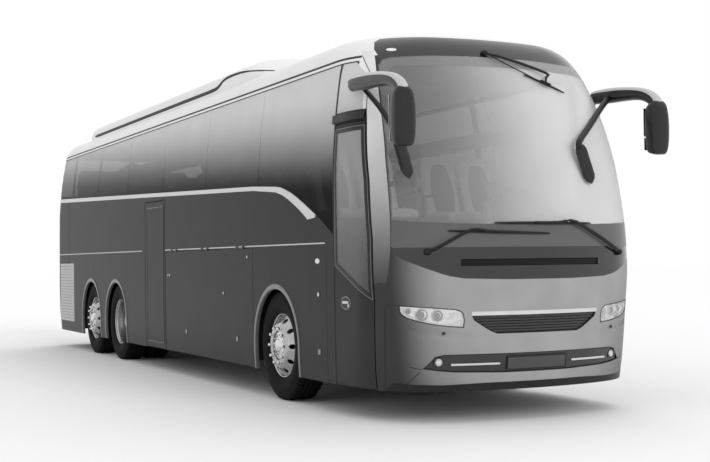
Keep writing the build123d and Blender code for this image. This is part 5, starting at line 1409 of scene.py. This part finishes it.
# %% Side grilles
grille_low, grille_high = (np.array(v) for v in plain_box(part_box("side_grilles")))
rear_edge, front_edge = grille_low[0] - AXLE, grille_high[0] - AXLE
bottom, top = grille_low[2], grille_high[2]
GRILLE_PLATE = finish("grille_plate", grey(178), 0.45, metal=0.2, tone=0.04, grain=0.1)
SLOT_STEP, SLOT_RISE = 0.045, 0.009
for word, side, _ in SIDES:
    plate = bar(rear_edge + 0.02, front_edge - 0.01, bottom + 0.01, top - 0.01)
    side_bit(f"side_grille_plate_{word}", plate, side, GRILLE_PLATE, "bright_trim", 0.002, 0.012,
             replaces=["side_grilles"])
    for number, z in enumerate(np.arange(bottom + 0.05, top - 0.04, SLOT_STEP)):
        slot = bar(rear_edge + 0.07, front_edge - 0.06, z, z + SLOT_RISE)
        side_bit(f"side_grille_slot_{number}_{word}", slot, side, DULL_TRIM, "black_plastic", 0.0035, 0.006)
print(f"side grilles from X {rear_edge:.2f} to {front_edge:.2f}, Z {bottom:.2f} to {top:.2f}")

# %% Front pillars
# The strip up each front pillar is the pillar's silver, painted dark towards its foot as painted shade and
# near white higher up as a painted highlight.
PILLAR = finish("pillar_silver", grey(40), 0.3, metal=0.2, coat=0.2, upper=grey(222), span=(1.0, 2.6))
RISES = np.linspace(1.12, 3.085, 40)
SCREEN_EDGE = ([1.12, 1.20, 1.412, 1.606, 2.108, 2.535, 2.750, 2.875, 2.965, 3.085],
               [1.185, 1.175, 1.161, 1.155, 1.140, 1.106, 1.078, 1.056, 1.036, 1.006])
rising_edge = left_edge[np.argsort(left_edge[:, 1])]
for word, side, foot in SIDES:
    corner = [(1.45, 2.56), (1.45, SIDE_TOP)]
    corner += [(seam_x(z) - 0.004, z) for z in np.linspace(SIDE_TOP, 2.56, 14)]
    side_bit(f"front_corner_{word}", corner, side, ROOF_PAINT, "body_paint", 0.0010, 0.004,
             [quarter_drawing(foot), bar(1.2, 1.56, 2.40, 2.985)], pitch=0.06)
    behind = [(side * (abs(np.interp(z, rising_edge[:, 1], rising_edge[:, 0])) - 0.004), z) for z in RISES]
    ahead = [spot_ahead(side * np.interp(z, *SCREEN_EDGE), z) for z in RISES]
    # The strip carries the painted highlight and shade of the pillar's finish.
    panel(f"pillar_strip_{word}", [np.array(behind + ahead[::-1])], [], PILLAR, "bright_trim",
          depth=0.004, proud=0.0012, pitch=0.04)
print("front pillars: a silver strip on each side")

# %% [markdown]
# ## Mirrors, wipers and the roof unit
# These are swept shapes: a path, and at each point of it a rounded section with its own half width and half
# height. The mirrors hang from curved arms, the wipers follow the glass, and the roof unit is a long shell
# whose section sinks into the roof at its front.

# %% Sweep helper
def swept(path, wide, high, side=(0.0, 1.0, 0.0), count=20, power=1.0):
    """Rings round a path: wide along side, high across it. A power under 1 squares the section."""
    path = np.asarray(path, float)
    along = np.gradient(path, axis=0)
    along /= np.linalg.norm(along, axis=1)[:, None]
    across = np.tile(np.asarray(side, float), (len(path), 1))
    across -= along * (across * along).sum(axis=1)[:, None]
    across /= np.linalg.norm(across, axis=1)[:, None]
    up = np.cross(along, across)
    wide, high = np.broadcast_to(wide, len(path)), np.broadcast_to(high, len(path))
    turns = np.linspace(0, 2 * math.pi, count, endpoint=False)
    c = np.sign(np.cos(turns)) * np.abs(np.cos(turns)) ** power
    s = np.sign(np.sin(turns)) * np.abs(np.sin(turns)) ** power
    rings = [path[i] + across[i] * (wide[i] * c)[:, None] + up[i] * (high[i] * s)[:, None]
             for i in range(len(path))]
    points = np.concatenate(rings)
    faces = tube(len(path), count, capped=True)
    middle = points.mean(axis=0)
    volume = sum(np.dot(points[f[0]] - middle, np.cross(points[f[i]] - middle, points[f[i + 1]] - middle))
                 for f in faces for i in range(1, len(f) - 1))
    return points, faces if volume > 0 else [face[::-1] for face in faces]


def smooth_path(knots, steps=6):
    """A smooth curve through its knots, each a row of any width."""
    knots = np.asarray(knots, float)
    before = np.vstack([2 * knots[0] - knots[1], knots, 2 * knots[-1] - knots[-2]])
    rows = []
    for a, b, c, d in zip(before, before[1:], before[2:], before[3:]):
        for t in np.linspace(0, 1, steps, endpoint=False):
            rows.append(0.5 * (2 * b + (c - a) * t + (2 * a - 5 * b + 4 * c - d) * t * t
                               + (3 * b - a - 3 * c + d) * t ** 3))
    return np.array(rows + [knots[-1]])


def rounded_ends(sizes, count=4):
    """Factors that close the ends of a sweep: small, then full, then small again."""
    ramp = np.sin(np.linspace(0.12, 1, count) * math.pi / 2)
    return np.concatenate([ramp, np.ones(sizes - 2 * count), ramp[::-1]])


# %% Mirrors
MIRROR_ACROSS = 1.228
ARM_KNOTS = [  # X, Z, half width across the coach, half height
    (1.607, 2.771, 0.040, 0.058), (1.72, 2.776, 0.047, 0.064), (1.90, 2.768, 0.049, 0.069),
    (2.10, 2.757, 0.049, 0.064), (2.30, 2.735, 0.049, 0.056), (2.43, 2.700, 0.049, 0.055),
    (2.525, 2.640, 0.050, 0.054), (2.558, 2.56, 0.050, 0.046)]
HEAD_KNOTS = [  # Z, rear and front X, half width
    (2.640, 2.490, 2.560, 0.052), (2.600, 2.470, 2.606, 0.078), (2.540, 2.464, 2.620, 0.088),
    (2.460, 2.463, 2.627, 0.093), (2.370, 2.463, 2.626, 0.094), (2.280, 2.470, 2.620, 0.091),
    (2.215, 2.478, 2.604, 0.082), (2.182, 2.496, 2.575, 0.062)]
GLASS_X = 2.4605
GLASSES = (("upper", 2.345, 2.585, 0.078), ("lower", 2.225, 2.330, 0.074))   # name, low, high, half width
AUX = {  # knots of the bar, then the elbow and the tip of the small mirror
    "left": ([(1.93, 1.19, 2.745), (2.07, 0.99, 2.620), (2.24, 0.76, 2.460)], (2.440, 0.487, 2.270),
             (2.460, 0.597, 1.930)),
    "right": ([(1.80, -1.19, 2.720), (1.98, -1.15, 2.560), (2.11, -1.13, 2.430)], (2.200, -1.110, 2.330),
              (2.370, -1.085, 1.950))}
MIRROR_GLASS = finish("mirror_glass", grey(196), 0.03, metal=1.0, tone=0.02, grain=0.0)
# The light grey on the top of each mirror arm is a painted highlight of the glossy shell.
ARM_TOP_HIGHLIGHT = finish("mirror_arm_cover", grey(188), 0.25, metal=0.3, coat=0.3, tone=0.04)
ARM_SIDES, HIGHLIGHT_FROM = 28, 0.45      # sides of the arm's section, and where on its height the painted highlight on its top begins


def mirror_part(name, shape, material, *more, sharp=ALL_SMOOTH):
    """A piece of a mirror, round all over unless sharp says otherwise."""
    add(name, *shape, material, "mirror_housing", *more, sharp=sharp)


for word, side, _ in SIDES:
    arm = smooth_path(ARM_KNOTS)
    path = np.stack([arm[:, 0], np.full(len(arm), side * MIRROR_ACROSS), arm[:, 1]], 1)
    close = rounded_ends(len(arm))
    shape = swept(path, arm[:, 2] * close, arm[:, 3] * close, count=ARM_SIDES, power=0.8)
    # Faces high on the arm's section take the painted highlight.
    rises = [math.sin(2 * math.pi * ((k % ARM_SIDES) + 0.5) / ARM_SIDES) for k in range(len(shape[1]) - 2)]
    mirror_part(f"mirror_arm_{word}", shape, [MIRROR_SHELL, ARM_TOP_HIGHLIGHT], ["mirrors"],
                [int(rise > HIGHLIGHT_FROM) for rise in rises] + [0, 0])
    head = smooth_path(HEAD_KNOTS, 5)
    close = rounded_ends(len(head), 3)
    path = np.stack([(head[:, 1] + head[:, 2]) / 2, np.full(len(head), side * MIRROR_ACROSS), head[:, 0]], 1)
    shape = swept(path, head[:, 3] * close, (head[:, 2] - head[:, 1]) / 2 * close, count=32, power=0.62)
    mirror_part(f"mirror_head_{word}", shape, MIRROR_SHELL)
    for name, low, high, half in GLASSES:
        spots = [(GLASS_X, side * MIRROR_ACROSS, low), (GLASS_X, side * MIRROR_ACROSS, high)]
        mirror_part(f"mirror_glass_{name}_{word}", swept(spots, half, 0.004, count=12, power=0.5),
                    MIRROR_GLASS, sharp=SHARP)
    knots, elbow, tip = (np.array(p) for p in AUX[word])
    rod = smooth_path(np.vstack([knots, elbow, elbow * 0.8 + tip * 0.2]), 5)
    mirror_part(f"aux_mirror_bar_{word}", swept(rod, 0.027, 0.015, count=14), BLACK)
    leaf = np.linspace(elbow, tip, 12)
    close = rounded_ends(len(leaf), 3)
    mirror_part(f"aux_mirror_leaf_{word}", swept(leaf, 0.056 * close, 0.017 * close, count=20, power=0.7),
                MIRROR_SHELL)
print("mirrors: arms, heads and glasses on both sides")

# %% Wipers
WIPERS = [  # pivot, elbow and the blade's two ends, as (across, height)
    ((-0.937, 1.369), (-0.617, 1.535), (-0.789, 1.533), (0.079, 1.509)),
    ((0.864, 1.354), (0.329, 1.600), (-0.415, 1.594), (0.522, 1.593)),
    ((-0.140, 3.040), (0.387, 2.876), (0.159, 2.858), (0.547, 2.721))]
ARM_PROUD = (0.020, 0.036, 0.042, 0.040, 0.034)   # how far five points of an arm stand off the glass
BLADE_PROUD, SPINE_PROUD, PIVOT_PROUD, ROD_PROUD = 0.016, 0.031, 0.026, 0.036
BLADE_POINTS, BLADE_SIDE = 19, (1, 0, 0.3)
UPPER, BESIDE = 2, np.array((0.030, -0.040))      # the upper wiper has a second rod, beside the first


def on_glass(spots, proud):
    """Points over the windscreen, each so far outside it."""
    return np.array([nose_point(a, z, p) for (a, z), p in zip(spots, np.broadcast_to(proud, len(spots)))])


PIVOT_CAP = lathe([(0.0, 0.014), (0.018, 0.012), (0.026, 0.0), (0.028, -0.03), (0.0, -0.03)], 24)
for number, (pivot, elbow, start, end) in enumerate(WIPERS):
    pivot, elbow, start, end = (np.array(p) for p in (pivot, elbow, start, end))
    middle = (start + end) / 2
    arm = on_glass([pivot, 0.7 * pivot + 0.3 * elbow, elbow, 0.5 * elbow + 0.5 * middle, middle],
                   ARM_PROUD)
    path = smooth_path(arm, 3)
    shapes = [swept(path, np.linspace(0.019, 0.009, len(path)), np.linspace(0.011, 0.007, len(path)),
                    count=10)]
    if number == UPPER:
        shapes.append(swept(on_glass([pivot + BESIDE, middle + BESIDE], ROD_PROUD), 0.005, 0.005, count=8))
    blade = on_glass(np.linspace(start, end, BLADE_POINTS), BLADE_PROUD)
    slim = np.sin(np.linspace(0.06, 0.94, BLADE_POINTS) * math.pi) ** 0.4
    shapes.append(swept(blade, 0.007 * slim, 0.012 * slim, side=BLADE_SIDE, count=8))
    spine = on_glass(np.linspace(0.62 * start + 0.38 * end, 0.38 * start + 0.62 * end, 9), SPINE_PROUD)
    shapes.append(swept(spine, 0.009, 0.011, side=BLADE_SIDE, count=8))
    shapes.append(facing_ahead(PIVOT_CAP, nose_point(*pivot, PIVOT_PROUD)))
    add(f"wiper_{number}", *joined(*shapes), BLACK, "black_plastic", ["wipers"], sharp=ALL_SMOOTH)
print(f"{len(WIPERS)} wipers")

# %% Roof unit
UNIT = np.array([(1.030, 3.150), (1.027, 3.220), (1.021, 3.300), (1.004, 3.355), (0.965, 3.393),
                 (0.900, 3.428), (0.800, 3.468), (0.700, 3.497), (0.550, 3.517), (0.400, 3.529),
                 (0.200, 3.537), (0.0, 3.540)])
ROOF_LINE = np.array([(0.0, 3.285), (0.770, 3.283), (0.970, 3.252), (1.065, 3.205), (1.130, 3.130)])
UNIT_PAINT = finish("unit_paint", grey(232), 0.42, coat=0.1, tone=0.02, grain=0.02, grain_scale=200.0)
UNIT_FRONT, UNIT_RAMP, TAPER_FROM, UNIT_TAPER = -0.752, 0.85, -1.7, 0.06
UNIT_SUNK = 0.03                      # the shell reaches so far into the roof
# X, share of the full height, share of the full width
stations = [(-8.295, 0.30, 0.97), (-8.285, 0.48, 0.985), (-8.25, 0.72, 0.995), (-8.19, 0.92, 1.0),
            (-8.13, 1.0, 1.0)]
stations += [(x, 1.0, 1.0) for x in np.linspace(-7.9, -1.75, 26)]
stations += [(x, min(1.0, (UNIT_FRONT - x) / UNIT_RAMP + 0.02), 1.0 - UNIT_TAPER * max(0.0, x - TAPER_FROM))
             for x in np.linspace(-1.62, -0.755, 16)]
stations = np.array(stations)


def unit_section(rise, narrow):
    """Half of the unit's section with its height above the roof scaled."""
    sunk = np.interp(UNIT[:, 0], ROOF_LINE[:, 0], ROOF_LINE[:, 1]) - UNIT_SUNK
    height = np.where(UNIT[:, 1] > sunk, sunk + (UNIT[:, 1] - sunk) * rise, np.minimum(UNIT[:, 1], sunk))
    return np.stack([UNIT[:, 0] * narrow, height], 1)


rows = []
for x, rise, narrow in stations:
    half = unit_section(rise, narrow)
    ring = np.concatenate([half, (half * (-1, 1))[::-1][1:]])
    rows.append(np.column_stack([np.full(len(ring), x), ring]))
add("roof_unit_shell", np.concatenate(rows), tube(len(rows), len(rows[0]), capped=True), UNIT_PAINT,
    "body_paint", ["roof_unit"], sharp=ALL_SMOOTH)

# A black line along the foot of the unit is the dark gap under its edge with its shadow: partly a dark joint,
# partly painted shadow.
GAP_AND_SHADOW_LINE = smooth_path([(-8.27, 3.262, 0.021), (-6.0, 3.262, 0.021), (-3.5, 3.262, 0.021),
                         (-2.50, 3.263, 0.021), (-2.28, 3.285, 0.020), (-2.12, 3.338, 0.018),
                         (-1.90, 3.352, 0.016), (-1.55, 3.345, 0.012), (-1.20, 3.312, 0.010),
                         (-0.88, 3.268, 0.008)], 5)
for word, side, _ in SIDES:
    path = []
    for x, z, _ in GAP_AND_SHADOW_LINE:
        half = unit_section(*(np.interp(x, stations[:, 0], stations[:, k]) for k in (1, 2)))
        path.append((x, side * (float(np.interp(z, half[:, 1], half[:, 0])) - 0.002), z))
    add(f"roof_unit_base_{word}", *swept(path, 0.010, GAP_AND_SHADOW_LINE[:, 2], count=10, power=0.6), SEAM,
        "black_plastic", sharp=ALL_SMOOTH)
print("roof unit: one shell and its base line")

# %% [markdown]
# ## Seats
# A seat is a light shell-shaped back and cushion with a dark crowned panel in the back's middle, a pedestal
# and an armrest. The back and the cushion start from a swept draft a little smaller than the seat. The draft
# is remeshed with voxels, blown up a few millimetres by a cloth simulation with air pressure and no gravity,
# thinned and smoothed. One seat of each kind is made, and every other one is a copy at its place in the rows.

# %% Stuffing helper
AIR, STEPS_OF_AIR = 4.0, 20           # pressure of the simulation, and its frames


def evaluated_copy(piece):
    """The piece's mesh with its modifiers applied, in a new mesh."""
    bpy.context.view_layer.update()
    return bpy.data.meshes.new_from_object(piece.evaluated_get(bpy.context.evaluated_depsgraph_get()))


def stuffed(shape, cap=0.009, voxel=0.012, share=0.12):
    """A draft blown up like a stuffed cushion, by cap at most: (points, faces)."""
    piece = bare_piece("cushion_draft", *shape, [CLOTH])
    remesh = piece.modifiers.new("voxels", "REMESH")
    remesh.mode, remesh.voxel_size = "VOXEL", voxel
    fine = evaluated_copy(piece)
    piece.modifiers.clear()
    piece.data = fine
    start = np.array([v.co for v in fine.vertices])
    cloth = piece.modifiers.new("air", "CLOTH").settings
    cloth.use_pressure = True
    cloth.uniform_pressure_force = AIR
    cloth.effector_weights.gravity = 0.0
    cloth.quality = 5
    for step in range(1, STEPS_OF_AIR + 1):
        bpy.context.scene.frame_set(step)
    blown = evaluated_copy(piece)
    moved = np.array([v.co for v in blown.vertices]) - start
    piece.modifiers.clear()
    bpy.context.scene.frame_set(1)
    length = np.maximum(np.linalg.norm(moved, axis=1), 1e-9)
    start = start + moved * np.minimum(1, cap / length)[:, None]
    fine.vertices.foreach_set("co", start.ravel())
    fine.update()
    thin = piece.modifiers.new("thin", "DECIMATE")
    thin.ratio = share
    smooth = piece.modifiers.new("smooth", "SUBSURF")
    smooth.levels = smooth.render_levels = 1
    result = evaluated_copy(piece)
    points, faces = np.array([v.co for v in result.vertices]), [tuple(p.vertices) for p in result.polygons]
    bpy.data.objects.remove(piece)
    return points, faces


# %% One seat
BACK_FOOT, BACK_HEAD = np.array((0.070, 0.0, 0.480)), np.array((-0.120, 0.0, 1.090))
BACK_UP = (BACK_HEAD - BACK_FOOT) / np.linalg.norm(BACK_HEAD - BACK_FOOT)
BACK_FRONT = np.array((BACK_UP[2], 0.0, -BACK_UP[0]))


def back_path(heights, behind):
    """Points up the back, counted along it from its foot, behind its front face."""
    return np.array([BACK_FOOT + BACK_UP * h - BACK_FRONT * behind for h in heights])


def back_draft(knots, behind=0.062):
    """A swept back from rows of height along the back, half width and half thickness."""
    rows = smooth_path(knots, 4)
    return swept(back_path(rows[:, 0], behind), rows[:, 1], rows[:, 2], count=28, power=0.55)


BACK_KNOTS = [(-0.075, 0.150, 0.030), (-0.060, 0.196, 0.044), (0.02, 0.203, 0.052), (0.20, 0.205, 0.050),
              (0.38, 0.206, 0.047), (0.50, 0.203, 0.044), (0.56, 0.190, 0.040), (0.60, 0.162, 0.034),
              (0.622, 0.120, 0.024)]
CUSHION_KNOTS = [(-0.020, 0.150, 0.024), (-0.005, 0.194, 0.040), (0.12, 0.204, 0.046), (0.30, 0.205, 0.046),
                 (0.42, 0.200, 0.044), (0.456, 0.180, 0.034), (0.466, 0.140, 0.020)]
CENTRE_KNOTS = [(0.015, 0.088, 0.010), (0.03, 0.108, 0.015), (0.14, 0.122, 0.019), (0.27, 0.126, 0.020),
                (0.37, 0.112, 0.018), (0.45, 0.094, 0.016), (0.505, 0.070, 0.012), (0.525, 0.036, 0.008)]
CUSHION_Z, CENTRE_BEHIND = 0.432, 0.012
PIPE, PIPE_OUT = 0.0035, 0.97         # the piping's radius, and its share of the centre's half width
rows = smooth_path(CUSHION_KNOTS, 4)
cushion_path = np.stack([rows[:, 0], np.zeros(len(rows)), np.full(len(rows), CUSHION_Z)], 1)
SEAT_BACK = stuffed(back_draft(BACK_KNOTS))
SEAT_CUSHION = stuffed(swept(cushion_path, rows[:, 1], rows[:, 2], count=28, power=0.55))
SEAT_CENTRE = back_draft(CENTRE_KNOTS, CENTRE_BEHIND)
rows = smooth_path(CENTRE_KNOTS, 4)
edge = [back_path([h], PIPE)[0] + (0, w * PIPE_OUT, 0) for h, w, _ in rows]
edge += [p * (1, -1, 1) for p in edge[::-1]]
SEAT_PIPING = swept(edge, PIPE, PIPE, side=BACK_FRONT, count=6)
PEDESTAL_ROWS = np.array([  # height, half width, half depth
    (0.0, 0.17, 0.095), (0.012, 0.17, 0.095), (0.02, 0.13, 0.06), (0.18, 0.12, 0.055), (0.34, 0.13, 0.06),
    (0.375, 0.18, 0.09)])
SEAT_PEDESTAL = swept([(0.205, 0, z) for z in PEDESTAL_ROWS[:, 0]], PEDESTAL_ROWS[:, 1], PEDESTAL_ROWS[:, 2],
                      count=20, power=0.4)
rest = smooth_path([(-0.02, 0, 0.640), (0.06, 0, 0.646), (0.20, 0, 0.644), (0.285, 0, 0.632)], 4)
close = rounded_ends(len(rest), 3)
ARMREST = joined(swept(rest, 0.022 * close, 0.017 * close, count=14),
                 swept([(0.0, 0, 0.44), (0.0, 0, 0.64)], 0.012, 0.02, count=10))
print(f"one seat: back {len(SEAT_BACK[1])} faces, cushion {len(SEAT_CUSHION[1])} faces")

# %% Rows of seats
DECK, PITCH, LAST_ROW = 1.290, 0.820, -9.0
FIRST_ROW, STAIRS = {"right": 0.700, "left": 0.060}, (-4.920, -3.570)   # the stairs are on the right
ROWS = {word: [x for x in first - PITCH * np.arange(12)
               if x >= LAST_ROW and not (word == "right" and STAIRS[0] < x < STAIRS[1])]
        for word, first in FIRST_ROW.items()}
# the seats' distances from the middle, the armrest's from its seat, and how firmly the seats are stuffed
SEAT_OUT, REST_IN, FILL = (0.520, 0.965), 0.232, 0.7
PIPING = finish("seat_piping", grey(60), 0.8, tone=0.1, grain=0.1)
KINDS = (("seat_backs", SEAT_BACK, CLOTH, "seat_fabric"),
         ("seat_cushions", SEAT_CUSHION, CLOTH, "seat_fabric"),
         ("seat_centres", SEAT_CENTRE, DARK_CLOTH, "seat_fabric"),
         ("seat_piping", SEAT_PIPING, PIPING, "seat_fabric"),
         ("seat_pedestals", SEAT_PEDESTAL, STEEL, "dark_steel"))
for word, side, _ in SIDES:
    places = [(x, side * out, DECK) for x in ROWS[word] for out in SEAT_OUT]
    for name, shape, material, slot in KINDS:
        piece = add(f"{name}_{word}", *repeated(shape, places, material=material), material, slot,
                    [f"passenger_seats_{word}"] if name == "seat_backs" else (), tidy=False, sharp=ALL_SMOOTH)
    rests = repeated(ARMREST, [(x, side * (SEAT_OUT[0] - REST_IN), DECK) for x in ROWS[word]])
    add(f"armrests_{word}", *rests, BLACK, "black_plastic", tidy=False, sharp=ALL_SMOOTH)
    print(f"{word}: {len(places)} seats in {len(ROWS[word])} rows")

# %% Driver's place
DRIVER, DRIVER_SIZE = (1.080, 0.600, 0.950), 1.03
DRIVER_CLOTH = finish("driver_cloth", grey(120), 0.85, tone=0.08, grain=0.5, grain_scale=260.0, sheen=0.2)
SHORT_BACK = [(-0.075, 0.150, 0.030), (-0.060, 0.196, 0.044), (0.02, 0.203, 0.052), (0.20, 0.206, 0.050),
              (0.34, 0.196, 0.046), (0.42, 0.170, 0.038), (0.455, 0.120, 0.026)]
HEADREST = [(0.475, 0.080, 0.024), (0.485, 0.112, 0.034), (0.55, 0.122, 0.040), (0.605, 0.112, 0.034),
            (0.622, 0.080, 0.022)]
for name, shape, material, slot in (
        ("driver_back", stuffed(back_draft(SHORT_BACK)), DRIVER_CLOTH, "seat_fabric"),
        ("driver_headrest", stuffed(back_draft(HEADREST)), DRIVER_CLOTH, "seat_fabric"),
        ("driver_cushion", SEAT_CUSHION, DRIVER_CLOTH, "seat_fabric"),
        ("driver_centre", back_draft([(h * 0.80, w, t) for h, w, t in CENTRE_KNOTS], CENTRE_BEHIND),
         DARK_CLOTH, "seat_fabric"),
        ("driver_pedestal", SEAT_PEDESTAL, STEEL, "dark_steel")):
    piece = add(name, *repeated(shape, [DRIVER], size=DRIVER_SIZE, material=material), material, slot,
                ["driver_seat"] if name == "driver_back" else (), tidy=False, sharp=ALL_SMOOTH)
hood = smooth_path([(2.02, 0.30, 1.400), (2.01, 0.36, 1.448), (2.00, 0.60, 1.470), (2.01, 0.84, 1.448),
                    (2.02, 0.90, 1.400)], 5)
add("instrument_hood", *swept(hood, 0.105, 0.030, side=(1, 0, 0), count=20, power=0.7), DASH_DARK,
    "dash_plastic", sharp=ALL_SMOOTH)
print("driver's place: seat, headrest and hood")

# %% [markdown]
# ## Finishes of the solids
# Some solids are shown as they are: the axles and the frame, the floors, the racks, the dashboard and the
# door arms. Each gets a finish of its own.

# %% Solids that stay
PAINTED_STEEL = finish("arm_steel", grey(58), 0.45, metal=0.4, tone=0.1, grain=0.1)
SPRING_RUBBER = finish("spring_rubber", grey(30), 0.7, tone=0.2, grain=0.3, grain_scale=160.0)
RACK = finish("rack_lining", grey(200), 0.7, tone=0.04, grain=0.1)
WHEEL_GRIP = finish("wheel_grip", grey(92), 0.6, tone=0.05, grain=0.3, grain_scale=400.0)
ARCH_LINER = finish("arch_liner", grey(24), 0.8, tone=0.2, grain=0.3, grain_scale=90.0)
KEPT = {"axles": IRON, "air_springs": SPRING_RUBBER, "underframe": STEEL, "wheel_houses": ARCH_LINER,
        "floors": BOARD, "engine_block": IRON, "hinge_fixings": PAINTED_STEEL,
        "front_door_arm": PAINTED_STEEL, "mid_door_arm": PAINTED_STEEL, "knuckle_left": IRON,
        "knuckle_right": IRON, "parcel_racks": RACK, "dashboard": DASH, "steering_wheel": WHEEL_GRIP}
for name, material in KEPT.items():
    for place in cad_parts[name].material_slots:
        place.material = material
print(f"{len(KEPT)} solids with finishes of their own")

# %% [markdown]
# ## The studio
# The coach stands on a wide pale floor under an even white sky. A large soft lamp high behind its left
# shoulder lets the shadow fall towards the viewer, and a low one ahead lights the nose more than the side.
# Both are distant, so the floor keeps one tone. The camera, and whatever mirrors the room, sees plain white.

# %% Studio
WHITE = (1.0, 1.0, 1.0, 1.0)
SKY, KEY, FRONT = 0.76, 0.55, 1.1     # strengths of the sky and of the two lamps
world = bpy.data.worlds.new("studio")
bpy.context.scene.world = world
world.use_nodes = True
room = world.node_tree.nodes
sky, seen = room["Background"], room.new("ShaderNodeBackground")
fill(sky, Color=WHITE, Strength=SKY)
fill(seen, Color=WHITE, Strength=1.0)
ray = room.new("ShaderNodeLightPath")
straight = (ray, "Is Camera Ray")
for kind in ("Is Transmission Ray", "Is Glossy Ray"):
    either = room.new("ShaderNodeMath")
    either.operation = "MAXIMUM"
    wire(*straight, either, 0)
    wire(ray, kind, either, 1)
    straight = (either, 0)
choose = room.new("ShaderNodeMixShader")
wire(*straight, choose, "Fac")
wire(sky, 0, choose, 1)
wire(seen, 0, choose, 2)
wire(choose, 0, room["World Output"], "Surface")

floor_finish = finish("studio_floor", grey(252), 0.9, tone=0.004, tone_scale=0.2, grain=0.0, specular=0.0)
floor_mesh = bpy.data.meshes.new("studio_floor")
REACH = 120.0
corners = [(-REACH, -REACH, 0), (REACH, -REACH, 0), (REACH, REACH, 0), (-REACH, REACH, 0)]
floor_mesh.from_pydata(corners, [], [(0, 1, 2, 3)])
floor_mesh.materials.append(floor_finish)
studio_floor = bpy.data.objects.new("studio_floor", floor_mesh)
bpy.context.scene.collection.objects.link(studio_floor)


def far_lamp(name, heading, height, spread, strength):
    """A distant soft lamp. Its place is in degrees from the front and above the floor, its spread too."""
    lamp = bpy.data.lights.new(name, "SUN")
    lamp.energy, lamp.angle = strength, math.radians(spread)
    holder = bpy.data.objects.new(name, lamp)
    bpy.context.scene.collection.objects.link(holder)
    turn, rise = math.radians(heading), math.radians(height)
    place = Vector((math.cos(turn) * math.cos(rise), math.sin(turn) * math.cos(rise), math.sin(rise)))
    holder.visible_glossy = False
    holder.rotation_euler = (-place).to_track_quat("-Z", "Y").to_euler()
    return holder


far_lamp("key_lamp", 140, 52, 40, KEY)
far_lamp("front_lamp", 8, 20, 30, FRONT)
bpy.context.scene.view_settings.view_transform = "Standard"
print("studio: floor, even sky and two soft lamps")
